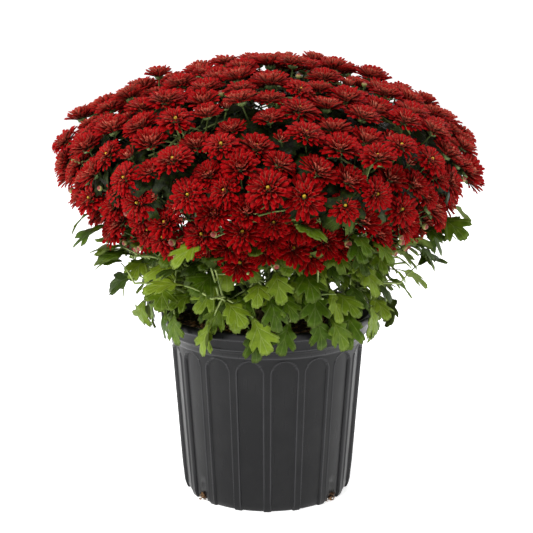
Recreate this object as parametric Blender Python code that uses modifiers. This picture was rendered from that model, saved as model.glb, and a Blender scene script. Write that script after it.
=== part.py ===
"""Pot chrysanthemum: dark red blooms on leafy stems, rooted in soil in a black fluted nursery pot.

Metres, +Z up. The origin is the centre of the pot's flat base, and -Y is the side that faces the viewer.
"""

import math

import bmesh
import bpy
import numpy as np
from mathutils import Matrix, Vector
from mathutils.bvhtree import BVHTree

# Pot
pot_height = 0.195
rim_radius = 0.1125
rim_inner_radius = 0.1085
collar_radius = 0.1068
collar_height = 0.1765
body_top_radius = 0.1012
body_top_height = 0.1650
body_foot_radius = 0.0898
body_foot_height = 0.0070
base_radius = 0.0863
wall = 0.0024
floor_thickness = 0.0030
floor_rounding = 0.0030
lip_rounding = 0.0015
lip_height = 0.0105
lip_taper = 0.0010
skirt_height = 0.0160
skirt_overhang = 0.0008
ledge_width = 0.0014
ledge_height = 0.0010
shoulder_width = 0.0010
shoulder_height = 0.0005
heel_rounding = 0.0018
pot_sides = 36

# Flutes and drain holes of the pot
flute_count = 18
flute_half_angle = math.radians(7.8)
flute_depth = 0.0012
flute_arch_rise = 0.0137
flute_top_height = 0.1640
flute_foot_inset = 0.0015
flute_knee_height = 0.010
flute_cut_reach = 0.006
flute_arch_stations = np.array([-1.0, -0.62, 0.0, 0.62, 1.0])
drain_hole_radius = 0.0055
drain_hole_height = 0.0045
drain_hole_reach_in = 0.008
drain_hole_angles = [50.0, 130.0, 230.0, 310.0]

# Soil and the woody crown
fit_gap = 0.0003
soil_height = 0.178
soil_edge_drop = 0.002
soil_mouth_drop = 0.001
soil_ring_count = 3
soil_lump = 0.0035
soil_lump_margin = 0.004
soil_seed = 5
crown_radius = 0.020
crown_rise = 0.024
crown_root_radius = 0.010
crown_root_depth = 0.030
crown_sides = 12

# Dome that the middles of the blooms lie on
dome_radius = 0.216
dome_widest_height = 0.350
dome_rise = 0.110
dome_fullness = 1.88
dome_tuck_depth = 0.128
dome_tuck_angle = math.radians(44.0)

# Blooms
bloom_count = 318
spray_count = 24
bloom_radius_mean = 0.0176
bloom_radius_spread = 0.0016
bloom_radius_least = 0.0135
bloom_radius_most = 0.0205
bloom_crowding = 0.77
spray_clearance = 1.035
bloom_seed = 21
low_spray_height = 0.335
place_jitter = 0.005
spread_turns = 160
spread_push = 0.35
spread_pull = 0.01
spread_step_most = 0.004
facing_jitter = 0.10
facing_lift = 0.15
facing_droop_share = 0.2

# Shape of a bloom, as shares of its radius
petal_count = 6
long_petal_height = -0.02
short_petal_reach = 0.90
short_petal_height = 0.14
notch_reach = 0.66
notch_height = 0.26
bloom_middle_height = 0.38
bloom_sink = 0.42

# Joining the blooms of a spray
gather_steps = 30
gather_step = 0.0010
gather_turns = 6
gather_turn = math.radians(10.0)
gather_grip = 0.95

# Stems and leaves
shoot_count = 9
shoot_lean = math.radians(84.0)
shoot_reach = 0.152
shoot_end_height = 0.238
shoot_start_reach = 0.040
shoot_start_lift = 0.012
shoot_end_pull = 0.050
stem_lean_most = math.radians(66.0)
stem_radius = 0.0017
stem_taper = 0.35
stem_crown_gap = 0.0003
stem_bloom_gap = 0.0004
stem_start_pull = 0.35
stem_end_pull = 0.28
stem_points = 5
stem_sample_count = 33
stem_bare_samples = 8
leaf_length_mean = 0.037
leaf_length_spread = 0.15
leaf_half_thickness = 0.0008
leaf_edge_along = np.array([1.00, 0.67, 0.80, 0.58, 0.42, 0.20, 0.02])
leaf_edge_across = np.array([0.085, 0.140, 0.360, 0.430, 0.170, 0.370, 0.035])
leaf_rib_stations = [0.55, 0.28, 0.55, 0.28, 0.0]
leaf_arch = 0.30
leaf_tip_droop = 0.10
leaf_edge_droop = 0.35
leaf_half_width = 0.42
petiole_radius = 0.0010
petiole_least = 0.007
petiole_most = 0.034
petiole_lean = 0.10
petiole_pull = 0.7

# Where the leaves grow: count, radius, height and droop in degrees of each ring under the blooms
leaf_rings = [
    (14, 0.1245, 0.196, 78.0),
    (15, 0.150, 0.226, 42.0),
    (16, 0.172, 0.248, 26.0),
    (18, 0.192, 0.272, 14.0),
    (16, 0.203, 0.293, 2.0),
    (14, 0.150, 0.268, 5.0),
]
leaf_inner_count = 40
leaf_inner_depth = 0.030
leaf_inner_lowest = 0.320
leaf_seed = 8
leaf_tries = 30
leaf_place_jitter = 0.003
leaf_droop_jitter = 10.0
leaf_azimuth_jitter = 0.05
leaf_yaw_jitter = 0.35
leaf_tilt_jitter = 0.12
leaf_roll_jitter = 0.20
leaf_spacing = 0.0062
leaf_bloom_gap = 0.0015
leaf_stem_gap = 0.0045
leaf_rim_gap = 0.003


def new_collection(name):
    """Makes a collection linked to the scene."""
    collection = bpy.data.collections.new(name)
    bpy.context.scene.collection.children.link(collection)
    return collection


def make_material(name, colour, roughness):
    """Makes a Principled material from a linear colour and a roughness."""
    material = bpy.data.materials.new(name)
    material.use_nodes = True
    shader = material.node_tree.nodes["Principled BSDF"]
    shader.inputs["Base Color"].default_value = (*colour, 1.0)
    shader.inputs["Roughness"].default_value = roughness
    shader.inputs["Metallic"].default_value = 0.0
    material.diffuse_color = (*colour, 1.0)
    return material


def mesh_object(name, points, faces, collection):
    """Makes an object from points and faces."""
    mesh = bpy.data.meshes.new(name)
    mesh.from_pydata([tuple(point) for point in points], [], faces)
    mesh.validate()
    thing = bpy.data.objects.new(name, mesh)
    collection.objects.link(thing)
    return thing


def turned_object(name, profile, sides, collection):
    """Turns a profile of (radius, height) points about +Z with a Screw modifier."""
    edges = [(index, index + 1) for index in range(len(profile) - 1)]
    mesh = bpy.data.meshes.new(name)
    mesh.from_pydata([(radius, 0.0, height) for radius, height in profile], edges, [])
    thing = bpy.data.objects.new(name, mesh)
    collection.objects.link(thing)
    screw = thing.modifiers.new("turn", "SCREW")
    screw.steps = sides
    screw.render_steps = sides
    screw.use_merge_vertices = True
    screw.merge_threshold = 0.00002
    screw.use_smooth_shade = False
    return thing


def apply_modifiers(thing):
    """Replaces an object's mesh with the mesh that its modifiers make."""
    evaluated = thing.evaluated_get(bpy.context.evaluated_depsgraph_get())
    mesh = bpy.data.meshes.new_from_object(evaluated)
    old = thing.data
    thing.modifiers.clear()
    thing.data = mesh
    mesh.name = thing.name
    bpy.data.meshes.remove(old)


def fuse(body, repeats):
    """Joins an object with a list of others by one Boolean union, then removes the others."""
    others = bpy.data.collections.new("repeats")
    for thing in repeats:
        for owner in list(thing.users_collection):
            owner.objects.unlink(thing)
        others.objects.link(thing)
    union = body.modifiers.new("fuse", "BOOLEAN")
    union.operation = "UNION"
    union.solver = "EXACT"
    union.operand_type = "COLLECTION"
    union.collection = others
    apply_modifiers(body)
    for thing in list(others.objects):
        bpy.data.objects.remove(thing)
    bpy.data.collections.remove(others)
    keep_largest_skin(body)


def keep_largest_skin(thing):
    """Splits faces into triangles, and drops loose scraps and the skins of sealed hollows."""
    shape = bmesh.new()
    shape.from_mesh(thing.data)
    bmesh.ops.triangulate(shape, faces=shape.faces)
    unseen = set(shape.verts)
    skins = []
    while unseen:
        skin = {unseen.pop()}
        edge = list(skin)
        while edge:
            beyond = {link.other_vert(vertex) for vertex in edge for link in vertex.link_edges} - skin
            skin |= beyond
            edge = list(beyond)
        unseen -= skin
        skins.append(skin)
    skins.sort(key=len)
    for skin in skins[:-1]:
        bmesh.ops.delete(shape, geom=list(skin), context="VERTS")
    shape.to_mesh(thing.data)
    shape.free()


def cut(body, cutter):
    """Adds a Boolean cut to an object and hides the cutter from renders."""
    cutter.hide_render = True
    cutter.display_type = "WIRE"
    difference = body.modifiers.new("cut " + cutter.name, "BOOLEAN")
    difference.operation = "DIFFERENCE"
    difference.solver = "EXACT"
    difference.object = cutter


def body_radius(height):
    """Outer radius of the pot's tapering body at a height."""
    slope = (body_top_radius - body_foot_radius) / (body_top_height - body_foot_height)
    return body_foot_radius + slope * (height - body_foot_height)


def make_pot(parts, cutters):
    """The nursery pot: a turned wall with a rolled rim, eighteen arched flutes and four drain holes."""
    inner_top = body_radius(body_top_height) - wall
    inner_foot = body_radius(2.0 * floor_thickness) - wall
    profile = [
        (0.0, floor_thickness),
        (inner_foot - floor_rounding, floor_thickness),
        (inner_foot, 2.0 * floor_thickness),
        (inner_top, body_top_height),
        (rim_inner_radius, pot_height),
        (rim_radius - lip_rounding, pot_height),
        (rim_radius, pot_height - lip_rounding),
        (rim_radius - lip_taper, pot_height - lip_height),
        (collar_radius + skirt_overhang, pot_height - skirt_height),
        (collar_radius, collar_height),
        (collar_radius - ledge_width, collar_height - ledge_height),
        (body_top_radius + shoulder_width, body_top_height + shoulder_height),
        (body_top_radius, body_top_height),
        (body_foot_radius, body_foot_height),
        (base_radius + heel_rounding, heel_rounding),
        (base_radius, 0.0),
        (0.0, 0.0),
    ]
    pot = turned_object("pot", profile, pot_sides, parts)

    flutes = make_flute_cutters(cutters)
    cut(pot, flutes)
    drains = make_drain_cutters(cutters)
    cut(pot, drains)
    return pot


def make_flute_cutters(cutters):
    """One sheet for each flute, set just inside the wall and thickened outwards past it."""
    across = flute_arch_stations
    width = len(across)
    arch = flute_top_height - flute_arch_rise * (1.0 - np.sqrt(1.0 - across ** 2))
    knee = np.full(width, flute_knee_height)
    foot = np.full(width, -flute_depth)
    rows = [
        (arch, body_radius(arch) - flute_depth),
        (knee, body_radius(knee) - flute_depth),
        (foot, np.full(width, base_radius - flute_foot_inset)),
    ]
    points = []
    faces = []
    for flute in range(flute_count):
        middle = math.radians(-90.0) + (flute + 0.5) * math.tau / flute_count
        angles = middle + across * flute_half_angle
        start = len(points)
        for heights, radii in rows:
            points.extend(zip(radii * np.cos(angles), radii * np.sin(angles), heights))
        for row in range(len(rows) - 1):
            for column in range(width - 1):
                corner = start + row * width + column
                faces.append((corner, corner + width, corner + width + 1, corner + 1))
    flutes = mesh_object("flute_cutter", points, faces, cutters)
    shell = flutes.modifiers.new("thicken", "SOLIDIFY")
    shell.thickness = flute_cut_reach
    shell.offset = 1.0
    return flutes


def make_drain_cutters(cutters):
    """Eight-sided pegs that point outwards through the foot of the wall."""
    inner_end = base_radius - drain_hole_reach_in
    place = Matrix.Translation((0.5 * (inner_end + rim_radius), 0.0, drain_hole_height))
    lay = Matrix.Rotation(math.radians(90.0), 4, "Y") @ Matrix.Rotation(math.radians(22.5), 4, "Z")
    shape = bmesh.new()
    for angle in drain_hole_angles:
        turn = Matrix.Rotation(math.radians(angle - 90.0), 4, "Z")
        bmesh.ops.create_cone(
            shape, cap_ends=True, segments=8, radius1=drain_hole_radius, radius2=drain_hole_radius,
            depth=rim_radius - inner_end, matrix=turn @ place @ lay)
    mesh = bpy.data.meshes.new("drain_cutter")
    shape.to_mesh(mesh)
    shape.free()
    drains = bpy.data.objects.new("drain_cutter", mesh)
    cutters.objects.link(drains)
    return drains


def crown_profile(gap):
    """Outline of the woody crown from its top down to the tip of its root, grown by a gap."""
    turn = np.linspace(0.0, 0.5 * np.pi, 5)
    radii = (crown_radius + gap) * np.sin(turn)
    heights = soil_height + (crown_rise + gap) * np.cos(turn)
    outline = [(float(radius), float(height)) for radius, height in zip(radii, heights)]
    outline[0] = (0.0, outline[0][1])
    outline.append((crown_root_radius + gap, soil_height - 0.6 * crown_root_depth))
    outline.append((0.0, soil_height - crown_root_depth - gap))
    return outline


def make_crown(parts):
    """The woody crown that all stems rise from, with its root down in the soil."""
    return turned_object("crown", crown_profile(0.0), crown_sides, parts)


def make_soil(parts):
    """The potting mix: it fills the pot, has a lumpy top, and has a plain hole for the crown."""
    inner_top = body_radius(body_top_height) - wall
    lean = (rim_inner_radius - inner_top) / (pot_height - body_top_height)
    edge_height = soil_height - soil_edge_drop
    edge_radius = inner_top + lean * (edge_height - body_top_height) - fit_gap
    inner_foot = body_radius(2.0 * floor_thickness) - wall
    hole = crown_profile(fit_gap)[-3:]
    mouth = crown_radius + soil_edge_drop
    rings = np.linspace(mouth, edge_radius, soil_ring_count + 1)
    profile = [(0.0, hole[2][1]), hole[1], (mouth, soil_height - soil_mouth_drop)]
    profile.extend((float(radius), soil_height) for radius in rings[1:-1])
    profile.append((edge_radius, edge_height))
    profile.append((inner_top - fit_gap, body_top_height))
    profile.append((inner_foot - fit_gap, 2.0 * floor_thickness))
    profile.append((inner_foot - floor_rounding - fit_gap, floor_thickness + fit_gap))
    profile.append((0.0, floor_thickness + fit_gap))
    soil = turned_object("soil", profile, pot_sides, parts)
    apply_modifiers(soil)
    draw = np.random.default_rng(soil_seed)
    for vertex in soil.data.vertices:
        reach = math.hypot(vertex.co.x, vertex.co.y)
        inside = mouth + soil_lump_margin < reach < edge_radius - soil_lump_margin
        if inside and vertex.co.z > soil_height - 0.5 * soil_mouth_drop:
            vertex.co.z += soil_lump * float(draw.uniform(-1.0, 1.0))
    return soil


def dome_profile():
    """Samples the dome from its top to its lower edge: radius, height, share of area, outward normal."""
    over = np.linspace(0.0, 0.5 * np.pi, 240)
    under = np.linspace(0.0, dome_tuck_angle, 100)[1:]
    power = 2.0 / dome_fullness
    radius = np.concatenate([dome_radius * np.sin(over) ** power, dome_radius * np.cos(under)])
    upper = dome_widest_height + dome_rise * np.cos(over) ** power
    lower = dome_widest_height - dome_tuck_depth * np.sin(under)
    height = np.concatenate([upper, lower])
    along_radius = np.gradient(radius)
    along_height = np.gradient(height)
    length = np.hypot(along_radius, along_height)
    share = np.cumsum(radius * length)
    share = (share - share[0]) / (share[-1] - share[0])
    return radius, height, share, -along_height / length, along_radius / length


def scatter(profile, count):
    """Spreads points evenly over the dome along a spiral of golden-angle turns."""
    radius, height, share = profile[:3]
    order = (np.arange(count) + 0.5) / count
    turn = np.arange(count) * math.pi * (3.0 - math.sqrt(5.0))
    reach = np.interp(order, share, radius)
    rise = np.interp(order, share, height)
    return np.stack([reach * np.cos(turn), reach * np.sin(turn), rise], axis=1)


def settle(profile, points):
    """Puts points back on the dome and gives the dome's outward normal at each."""
    radius, height = profile[:2]
    normal_out, normal_up = profile[3:]
    reach = np.hypot(points[:, 0], points[:, 1])
    away = (reach[:, None] - radius) ** 2 + (points[:, 2][:, None] - height) ** 2
    nearest = np.argmin(away, axis=1)
    unit = points[:, :2] / np.maximum(reach, 1e-9)[:, None]
    seated = np.column_stack([unit * radius[nearest][:, None], height[nearest]])
    normals = np.column_stack([unit * normal_out[nearest][:, None], normal_up[nearest]])
    return seated, normals


def lay_out_blooms():
    """Places the blooms: a spiral start, a draw of sizes, then pushing apart until none crowd.

    Blooms of one spray end close enough to touch, and blooms of two sprays end clear of each other.
    """
    profile = dome_profile()
    draw = np.random.default_rng(bloom_seed)
    points = scatter(profile, bloom_count) + draw.normal(0.0, place_jitter, (bloom_count, 3))
    radii = draw.normal(bloom_radius_mean, bloom_radius_spread, bloom_count)
    radii = np.clip(radii, bloom_radius_least, bloom_radius_most)
    middles = scatter(profile, spray_count)
    sprays = np.argmin(np.linalg.norm(points[:, None] - middles, axis=2), axis=1)
    same = sprays[:, None] == sprays
    wanted = (radii[:, None] + radii) * np.where(same, bloom_crowding, spray_clearance)
    for turn in range(spread_turns):
        points, normals = settle(profile, points)
        apart = points[:, None] - points
        distance = np.linalg.norm(apart, axis=2) + np.eye(bloom_count)
        press = np.clip(wanted - distance, 0.0, spread_step_most) * (1.0 - np.eye(bloom_count))
        push = (apart / distance[:, :, None] * press[:, :, None]).sum(axis=1)
        centres = np.array([points[sprays == spray].mean(axis=0) for spray in range(spray_count)])
        pull = centres[sprays] - points
        points = points + spread_push * push + spread_pull * pull
    points, normals = settle(profile, points)
    facing = normals + draw.normal(0.0, facing_jitter, normals.shape)
    down = facing[:, 2] < 0.0
    facing[:, 2] = np.where(down, facing_droop_share * facing[:, 2], facing[:, 2]) + facing_lift
    facing /= np.linalg.norm(facing, axis=1)[:, None]
    spins = draw.uniform(0.0, math.tau, bloom_count)
    return points, facing, radii, spins, sprays


def facing_frame(normal, spin):
    """Two directions across a normal, turned about it by a spin."""
    side = np.cross(normal, (0.0, 0.0, 1.0) if abs(normal[2]) < 0.9 else (1.0, 0.0, 0.0))
    side /= np.linalg.norm(side)
    other = np.cross(normal, side)
    across = side * math.cos(spin) + other * math.sin(spin)
    return across, np.cross(normal, across)


def bloom_shape(centre, normal, radius, spin):
    """A bloom: long low petals and short raised ones in turn, with notches between, round a full middle."""
    side, other = facing_frame(normal, spin)
    turn = math.tau * np.arange(petal_count) / petal_count
    long_petal = np.arange(petal_count) % 2 == 0
    tip_reach = np.where(long_petal, 1.0, short_petal_reach)
    tip_height = np.where(long_petal, long_petal_height, short_petal_height)
    angles = np.concatenate([turn, turn + 0.5 * math.tau / petal_count])
    reach = radius * np.concatenate([np.full(petal_count, notch_reach), tip_reach])
    height = radius * np.concatenate([np.full(petal_count, notch_height), tip_height])
    rim = centre + (reach * np.cos(angles))[:, None] * side
    rim = rim + (reach * np.sin(angles))[:, None] * other + height[:, None] * normal
    top = centre + bloom_middle_height * radius * normal
    points = np.vstack([rim, top, centre - bloom_sink * radius * normal])
    middle = 2 * petal_count
    foot = middle + 1
    faces = []
    for petal in range(petal_count):
        after = (petal + 1) % petal_count
        tip = petal_count + petal
        faces.append((middle, petal, after))
        faces.append((petal, tip, after))
        faces.append((foot, tip, petal))
        faces.append((foot, after, tip))
    return points, faces


def skin_tree(points, faces):
    """Search tree of a skin's triangles."""
    return BVHTree.FromPolygons([Vector(point) for point in points], faces)


def carrier_of(points, members):
    """The bloom that a spray's stem runs up to: its middle one, or its lowest one low on the dome."""
    middle = points[members].mean(axis=0)
    if middle[2] < low_spray_height:
        return members[int(np.argmin(points[members][:, 2]))]
    return members[int(np.argmin(np.linalg.norm(points[members] - middle, axis=1)))]


def gather_spray(points, facing, radii, spins, members):
    """Turns the blooms of one spray, and moves them a little where needed, until they hang together.

    A bloom is sunk into the ones before it once it would still touch them with its petals a little shorter.
    """
    seated = points.copy()
    first = carrier_of(points, members)
    left = [member for member in members if member != first]
    joined = [first]
    shapes = [bloom_shape(seated[first], facing[first], radii[first], spins[first])]
    trees = [skin_tree(*shapes[0])]
    while left:
        gaps = np.linalg.norm(seated[left][:, None] - seated[joined], axis=2)
        gaps = gaps - radii[left][:, None] - radii[joined]
        row, column = np.unravel_index(int(np.argmin(gaps)), gaps.shape)
        member = left.pop(int(row))
        way = seated[joined[int(column)]] - seated[member]
        way /= np.linalg.norm(way)
        for attempt in range(gather_steps * gather_turns):
            if attempt and attempt % gather_turns == 0:
                seated[member] = seated[member] + gather_step * way
            spin = spins[member] + gather_turn * (attempt % gather_turns)
            skin, faces = bloom_shape(seated[member], facing[member], radii[member], spin)
            short = skin_tree(seated[member] + gather_grip * (skin - seated[member]), faces)
            if any(short.overlap(tree) for tree in trees):
                break
        shapes.append((skin, faces))
        trees.append(skin_tree(skin, faces))
        joined.append(member)
    return shapes


def make_sprays(parts, layout):
    """One object for each spray, with its blooms fused where their petals cross."""
    points, facing, radii, spins, sprays = layout
    for spray in range(spray_count):
        members = [int(index) for index in np.flatnonzero(sprays == spray)]
        shapes = gather_spray(points, facing, radii, spins, members)
        name = "bloom_spray_%02d" % (spray + 1)
        body = mesh_object(name, shapes[0][0], shapes[0][1], parts)
        others = [mesh_object("bloom", shape[0], shape[1], parts) for shape in shapes[1:]]
        fuse(body, others)


def spray_seats(layout):
    """For each spray, the foot of the bloom that its stem runs up to, the way it faces, and its azimuth."""
    points, facing, radii = layout[:3]
    sprays = layout[4]
    seats = []
    for spray in range(spray_count):
        carrier = carrier_of(points, np.flatnonzero(sprays == spray))
        middle = points[sprays == spray].mean(axis=0)
        foot = points[carrier] - bloom_sink * radii[carrier] * facing[carrier]
        seats.append((foot, facing[carrier], math.atan2(middle[1], middle[0])))
    return seats


def bezier(first, second, third, fourth, count):
    """Points along a cubic curve."""
    way = np.linspace(0.0, 1.0, count)[:, None]
    back = 1.0 - way
    near_start = back ** 3 * first + 3.0 * back ** 2 * way * second
    return near_start + 3.0 * back * way ** 2 * third + way ** 3 * fourth


def crown_seat(azimuth, lean):
    """A point on the crown and the direction away from it, for an azimuth and a lean from upright."""
    level = math.sin(lean)
    out = np.array([level * math.cos(azimuth), level * math.sin(azimuth), math.cos(lean)])
    skin = out * np.array([crown_radius, crown_radius, crown_rise])
    return skin + np.array([0.0, 0.0, soil_height]), out


def crown_facets():
    """Outward normals of the crown's facets above the soil, and each one's distance from its centre."""
    rings = np.array(crown_profile(0.0)[:-2]) * np.array([math.cos(math.pi / crown_sides), 1.0])
    rings[:, 1] -= soil_height
    slope = np.diff(rings, axis=0)
    slope /= np.linalg.norm(slope, axis=1)[:, None]
    offsets = slope[:, 0] * rings[:-1, 1] - slope[:, 1] * rings[:-1, 0]
    turn = (np.arange(crown_sides) + 0.5) * math.tau / crown_sides
    normals = [np.outer(np.cos(turn), -slope[:, 1]), np.outer(np.sin(turn), -slope[:, 1])]
    normals.append(np.tile(slope[:, 0], (crown_sides, 1)))
    return np.stack(normals, axis=-1).reshape(-1, 3), np.tile(offsets, crown_sides)


def seat_stem(path):
    """Slides the start of a stem along its own direction until its end face is just clear of the crown."""
    normals, offsets = crown_facets()
    points = bezier(*path, stem_points)
    way = points[1] - points[0]
    way /= np.linalg.norm(way)
    start = points[0] - np.array([0.0, 0.0, soil_height])
    tilt = np.sqrt(np.clip(1.0 - (normals @ way) ** 2, 0.0, 1.0))
    clear = normals @ start - offsets - stem_radius * tilt
    nearest = int(np.argmax(clear))
    slide = (stem_crown_gap - clear[nearest]) / float(normals[nearest] @ way)
    return (path[0] + slide * way, *path[1:])


def stem_paths(seats):
    """Curves from the crown: one to the seat of each spray, and low shoots that end among the leaves."""
    paths = []
    for index, (seat, facing, azimuth) in enumerate(seats):
        end = seat - stem_bloom_gap * facing
        start, out = crown_seat(azimuth, stem_lean_most * math.sqrt((index + 0.5) / spray_count))
        length = float(np.linalg.norm(end - start))
        rise = start + stem_start_pull * length * out
        paths.append(seat_stem((start, rise, end - stem_end_pull * length * facing, end)))
    for shoot in range(shoot_count):
        azimuth = math.radians(-90.0) + (shoot + 0.5) * math.tau / shoot_count
        start, out = crown_seat(azimuth, shoot_lean)
        level = np.array([math.cos(azimuth), math.sin(azimuth), 0.0])
        up = np.array([0.0, 0.0, 1.0])
        end = shoot_reach * level + shoot_end_height * up
        rise = start + shoot_start_reach * out + shoot_start_lift * up
        paths.append(seat_stem((start, rise, end - shoot_end_pull * level, end)))
    return paths


def leaf_height(along, across):
    """Height of the blade for a unit length: arched along its rib and drooping to its edges and tip."""
    arch = leaf_arch * along * (1.0 - along)
    return arch - leaf_tip_droop * along ** 2 - leaf_edge_droop * across ** 2


def place_leaf(base, rib, face, length, along, across, lift):
    """World points of a leaf from unit places along and across the blade and a lift off it in metres."""
    side = np.cross(face, rib)
    height = leaf_height(along, across) * length + lift
    flat = base + (along * length)[:, None] * rib + (across * length)[:, None] * side
    return flat + height[:, None] * face


def stem_samples(paths):
    """Points along the straight lengths that each stem is built from, and the stem that each is on."""
    stations = np.linspace(0.0, stem_points - 1.0, stem_sample_count)
    clouds = []
    for path in paths:
        corners = bezier(*path, stem_points)
        columns = [np.interp(stations, np.arange(stem_points), corners[:, axis]) for axis in range(3)]
        clouds.append(np.stack(columns, axis=1))
    return np.vstack(clouds), np.repeat(np.arange(len(paths)), stem_sample_count)


def leaf_slots(draw):
    """Wished-for leaves: in rings round the skirt under the blooms, and a few inside under the dome."""
    slots = []
    for count, radius, height, droop in leaf_rings:
        first = draw.uniform(0.0, math.tau)
        for place in range(count):
            azimuth = first + (place + draw.uniform(-0.25, 0.25)) * math.tau / count
            slots.append((azimuth, radius, height, droop, "skirt"))
    profile = dome_profile()
    seated, normals = settle(profile, scatter(profile, leaf_inner_count))
    for point, normal in zip(seated, normals):
        if point[2] > leaf_inner_lowest:
            slots.append((point - leaf_inner_depth * normal, normal, "inner"))
    return slots


def leaf_frames(paths, layout):
    """Settles the leaves one by one: each takes the first try that is clear of everything else."""
    points = layout[0]
    radii = layout[2]
    draw = np.random.default_rng(leaf_seed)
    stem_cloud, owners = stem_samples(paths)
    leafy = np.tile(np.arange(stem_sample_count), len(paths)) >= stem_bare_samples
    across_stations = np.linspace(-leaf_half_width, leaf_half_width, 6)
    grid_along, grid_across = np.meshgrid(np.linspace(0.0, 1.0, 8), across_stations)
    grid_along = grid_along.ravel()
    grid_across = grid_across.ravel()
    leaves = []
    cloud = np.empty((0, 3))
    for slot in leaf_slots(draw):
        for attempt in range(leaf_tries):
            length = leaf_length_mean * draw.uniform(1.0 - leaf_length_spread, 1.0 + leaf_length_spread)
            if slot[-1] == "skirt":
                azimuth = slot[0] + draw.normal(0.0, leaf_azimuth_jitter)
                droop = math.radians(slot[3] + draw.normal(0.0, leaf_droop_jitter))
                yaw = azimuth + draw.normal(0.0, leaf_yaw_jitter)
                out = np.array([math.cos(yaw), math.sin(yaw), 0.0])
                rib = out * math.cos(droop) - np.array([0.0, 0.0, math.sin(droop)])
                face = out * math.sin(droop) + np.array([0.0, 0.0, math.cos(droop)])
                middle = np.array([slot[1] * math.cos(azimuth), slot[1] * math.sin(azimuth), slot[2]])
            else:
                face = slot[1] + draw.normal(0.0, leaf_tilt_jitter, 3)
                face /= np.linalg.norm(face)
                rib, side = facing_frame(face, draw.uniform(0.0, math.tau))
                middle = slot[0]
            roll = draw.normal(0.0, leaf_roll_jitter)
            side = np.cross(face, rib)
            face = face * math.cos(roll) + side * math.sin(roll)
            middle = middle + draw.normal(0.0, leaf_place_jitter, 3)
            base = middle - 0.5 * length * rib
            way = base - stem_cloud
            reach = np.linalg.norm(way, axis=1)
            ahead = way @ rib > petiole_lean * reach
            fits = leafy & ahead & (reach > petiole_least) & (reach < petiole_most)
            if not fits.any():
                continue
            nearest = int(np.argmin(np.where(fits, reach, 1.0)))
            root = stem_cloud[nearest]
            rib = rib + petiole_pull * way[nearest] / reach[nearest]
            rib /= np.linalg.norm(rib)
            face = face - (face @ rib) * rib
            face /= np.linalg.norm(face)
            blade = place_leaf(base, rib, face, length, grid_along, grid_across, 0.0)
            petiole = root + np.linspace(0.15, 1.0, 6)[:, None] * (base - root)
            whole = np.vstack([blade, petiole])
            own = owners == owners[nearest]
            if not leaf_is_clear(whole, blade, cloud, points, radii, stem_cloud[own], stem_cloud[~own]):
                continue
            leaves.append((int(owners[nearest]), root, base, rib, face, length))
            cloud = np.vstack([cloud, whole])
            break
    return leaves


def leaf_is_clear(whole, blade, cloud, blooms, radii, own_stem, other_stems):
    """Whether a leaf misses the leaves before it, the blooms, the stems and the pot."""
    if len(cloud):
        if np.linalg.norm(whole[:, None] - cloud, axis=2).min() < leaf_spacing:
            return False
    if (np.linalg.norm(whole[:, None] - blooms, axis=2) - radii).min() < leaf_bloom_gap:
        return False
    if np.linalg.norm(whole[:, None] - other_stems, axis=2).min() < leaf_stem_gap:
        return False
    if np.linalg.norm(blade[:, None] - own_stem, axis=2).min() < leaf_stem_gap:
        return False
    reach = np.hypot(whole[:, 0], whole[:, 1])
    beside_rim = (reach > rim_inner_radius - 2.0 * leaf_rim_gap) & (reach < rim_radius + leaf_rim_gap)
    in_rim = beside_rim & (whole[:, 2] < pot_height + leaf_rim_gap)
    in_soil = (reach < rim_inner_radius) & (whole[:, 2] < soil_height + 2.0 * leaf_rim_gap)
    return not (in_rim | in_soil).any()


def leaf_shape(root, base, rib, face, length):
    """A lobed leaf with its stalk: five blunt lobes round a raised rib, thin at the edge."""
    along = np.concatenate([leaf_edge_along, leaf_edge_along, leaf_rib_stations])
    across = np.concatenate([leaf_edge_across, -leaf_edge_across, np.zeros(len(leaf_rib_stations))])
    lift = np.zeros(len(along))
    lift[14:16] = leaf_half_thickness
    lift[16:18] = -leaf_half_thickness
    lift[18] = -1.6 * petiole_radius
    blade = place_leaf(base, rib, face, length, along, across, lift)
    way = (base - root) / np.linalg.norm(base - root)
    side = np.cross(face, rib)
    side -= (side @ way) * way
    side /= np.linalg.norm(side)
    up = np.cross(way, side)
    foot_corners = [0.9 * side + 0.5 * up, 0.5 * up - 0.9 * side, -up]
    foot = [root + petiole_radius * corner for corner in foot_corners]
    points = np.vstack([blade, foot])
    top_tip, top_heel, under_tip, under_heel, keel = 14, 15, 16, 17, 18
    faces = [(top_tip, 7, 0), (under_tip, 0, 7), (top_heel, 6, 13)]
    faces.extend([(under_heel, keel, 6), (under_heel, 13, keel)])
    for corner in range(4):
        faces.append((top_tip, corner, corner + 1))
        faces.append((under_tip, corner + 1, corner))
        faces.append((top_tip, corner + 8, corner + 7))
        faces.append((under_tip, corner + 7, corner + 8))
    for corner in (4, 5):
        faces.append((top_heel, corner, corner + 1))
        faces.append((under_heel, corner + 1, corner))
        faces.append((top_heel, corner + 8, corner + 7))
        faces.append((under_heel, corner + 7, corner + 8))
    faces.extend([(top_tip, 4, top_heel), (top_tip, top_heel, 11)])
    faces.extend([(under_tip, under_heel, 4), (under_tip, 11, under_heel)])
    right, left, below = 19, 20, 21
    faces.extend([(6, right, 13), (13, right, left), (13, left, keel), (keel, left, below)])
    faces.extend([(keel, below, 6), (6, below, right), (right, below, left)])
    return points, faces


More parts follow.
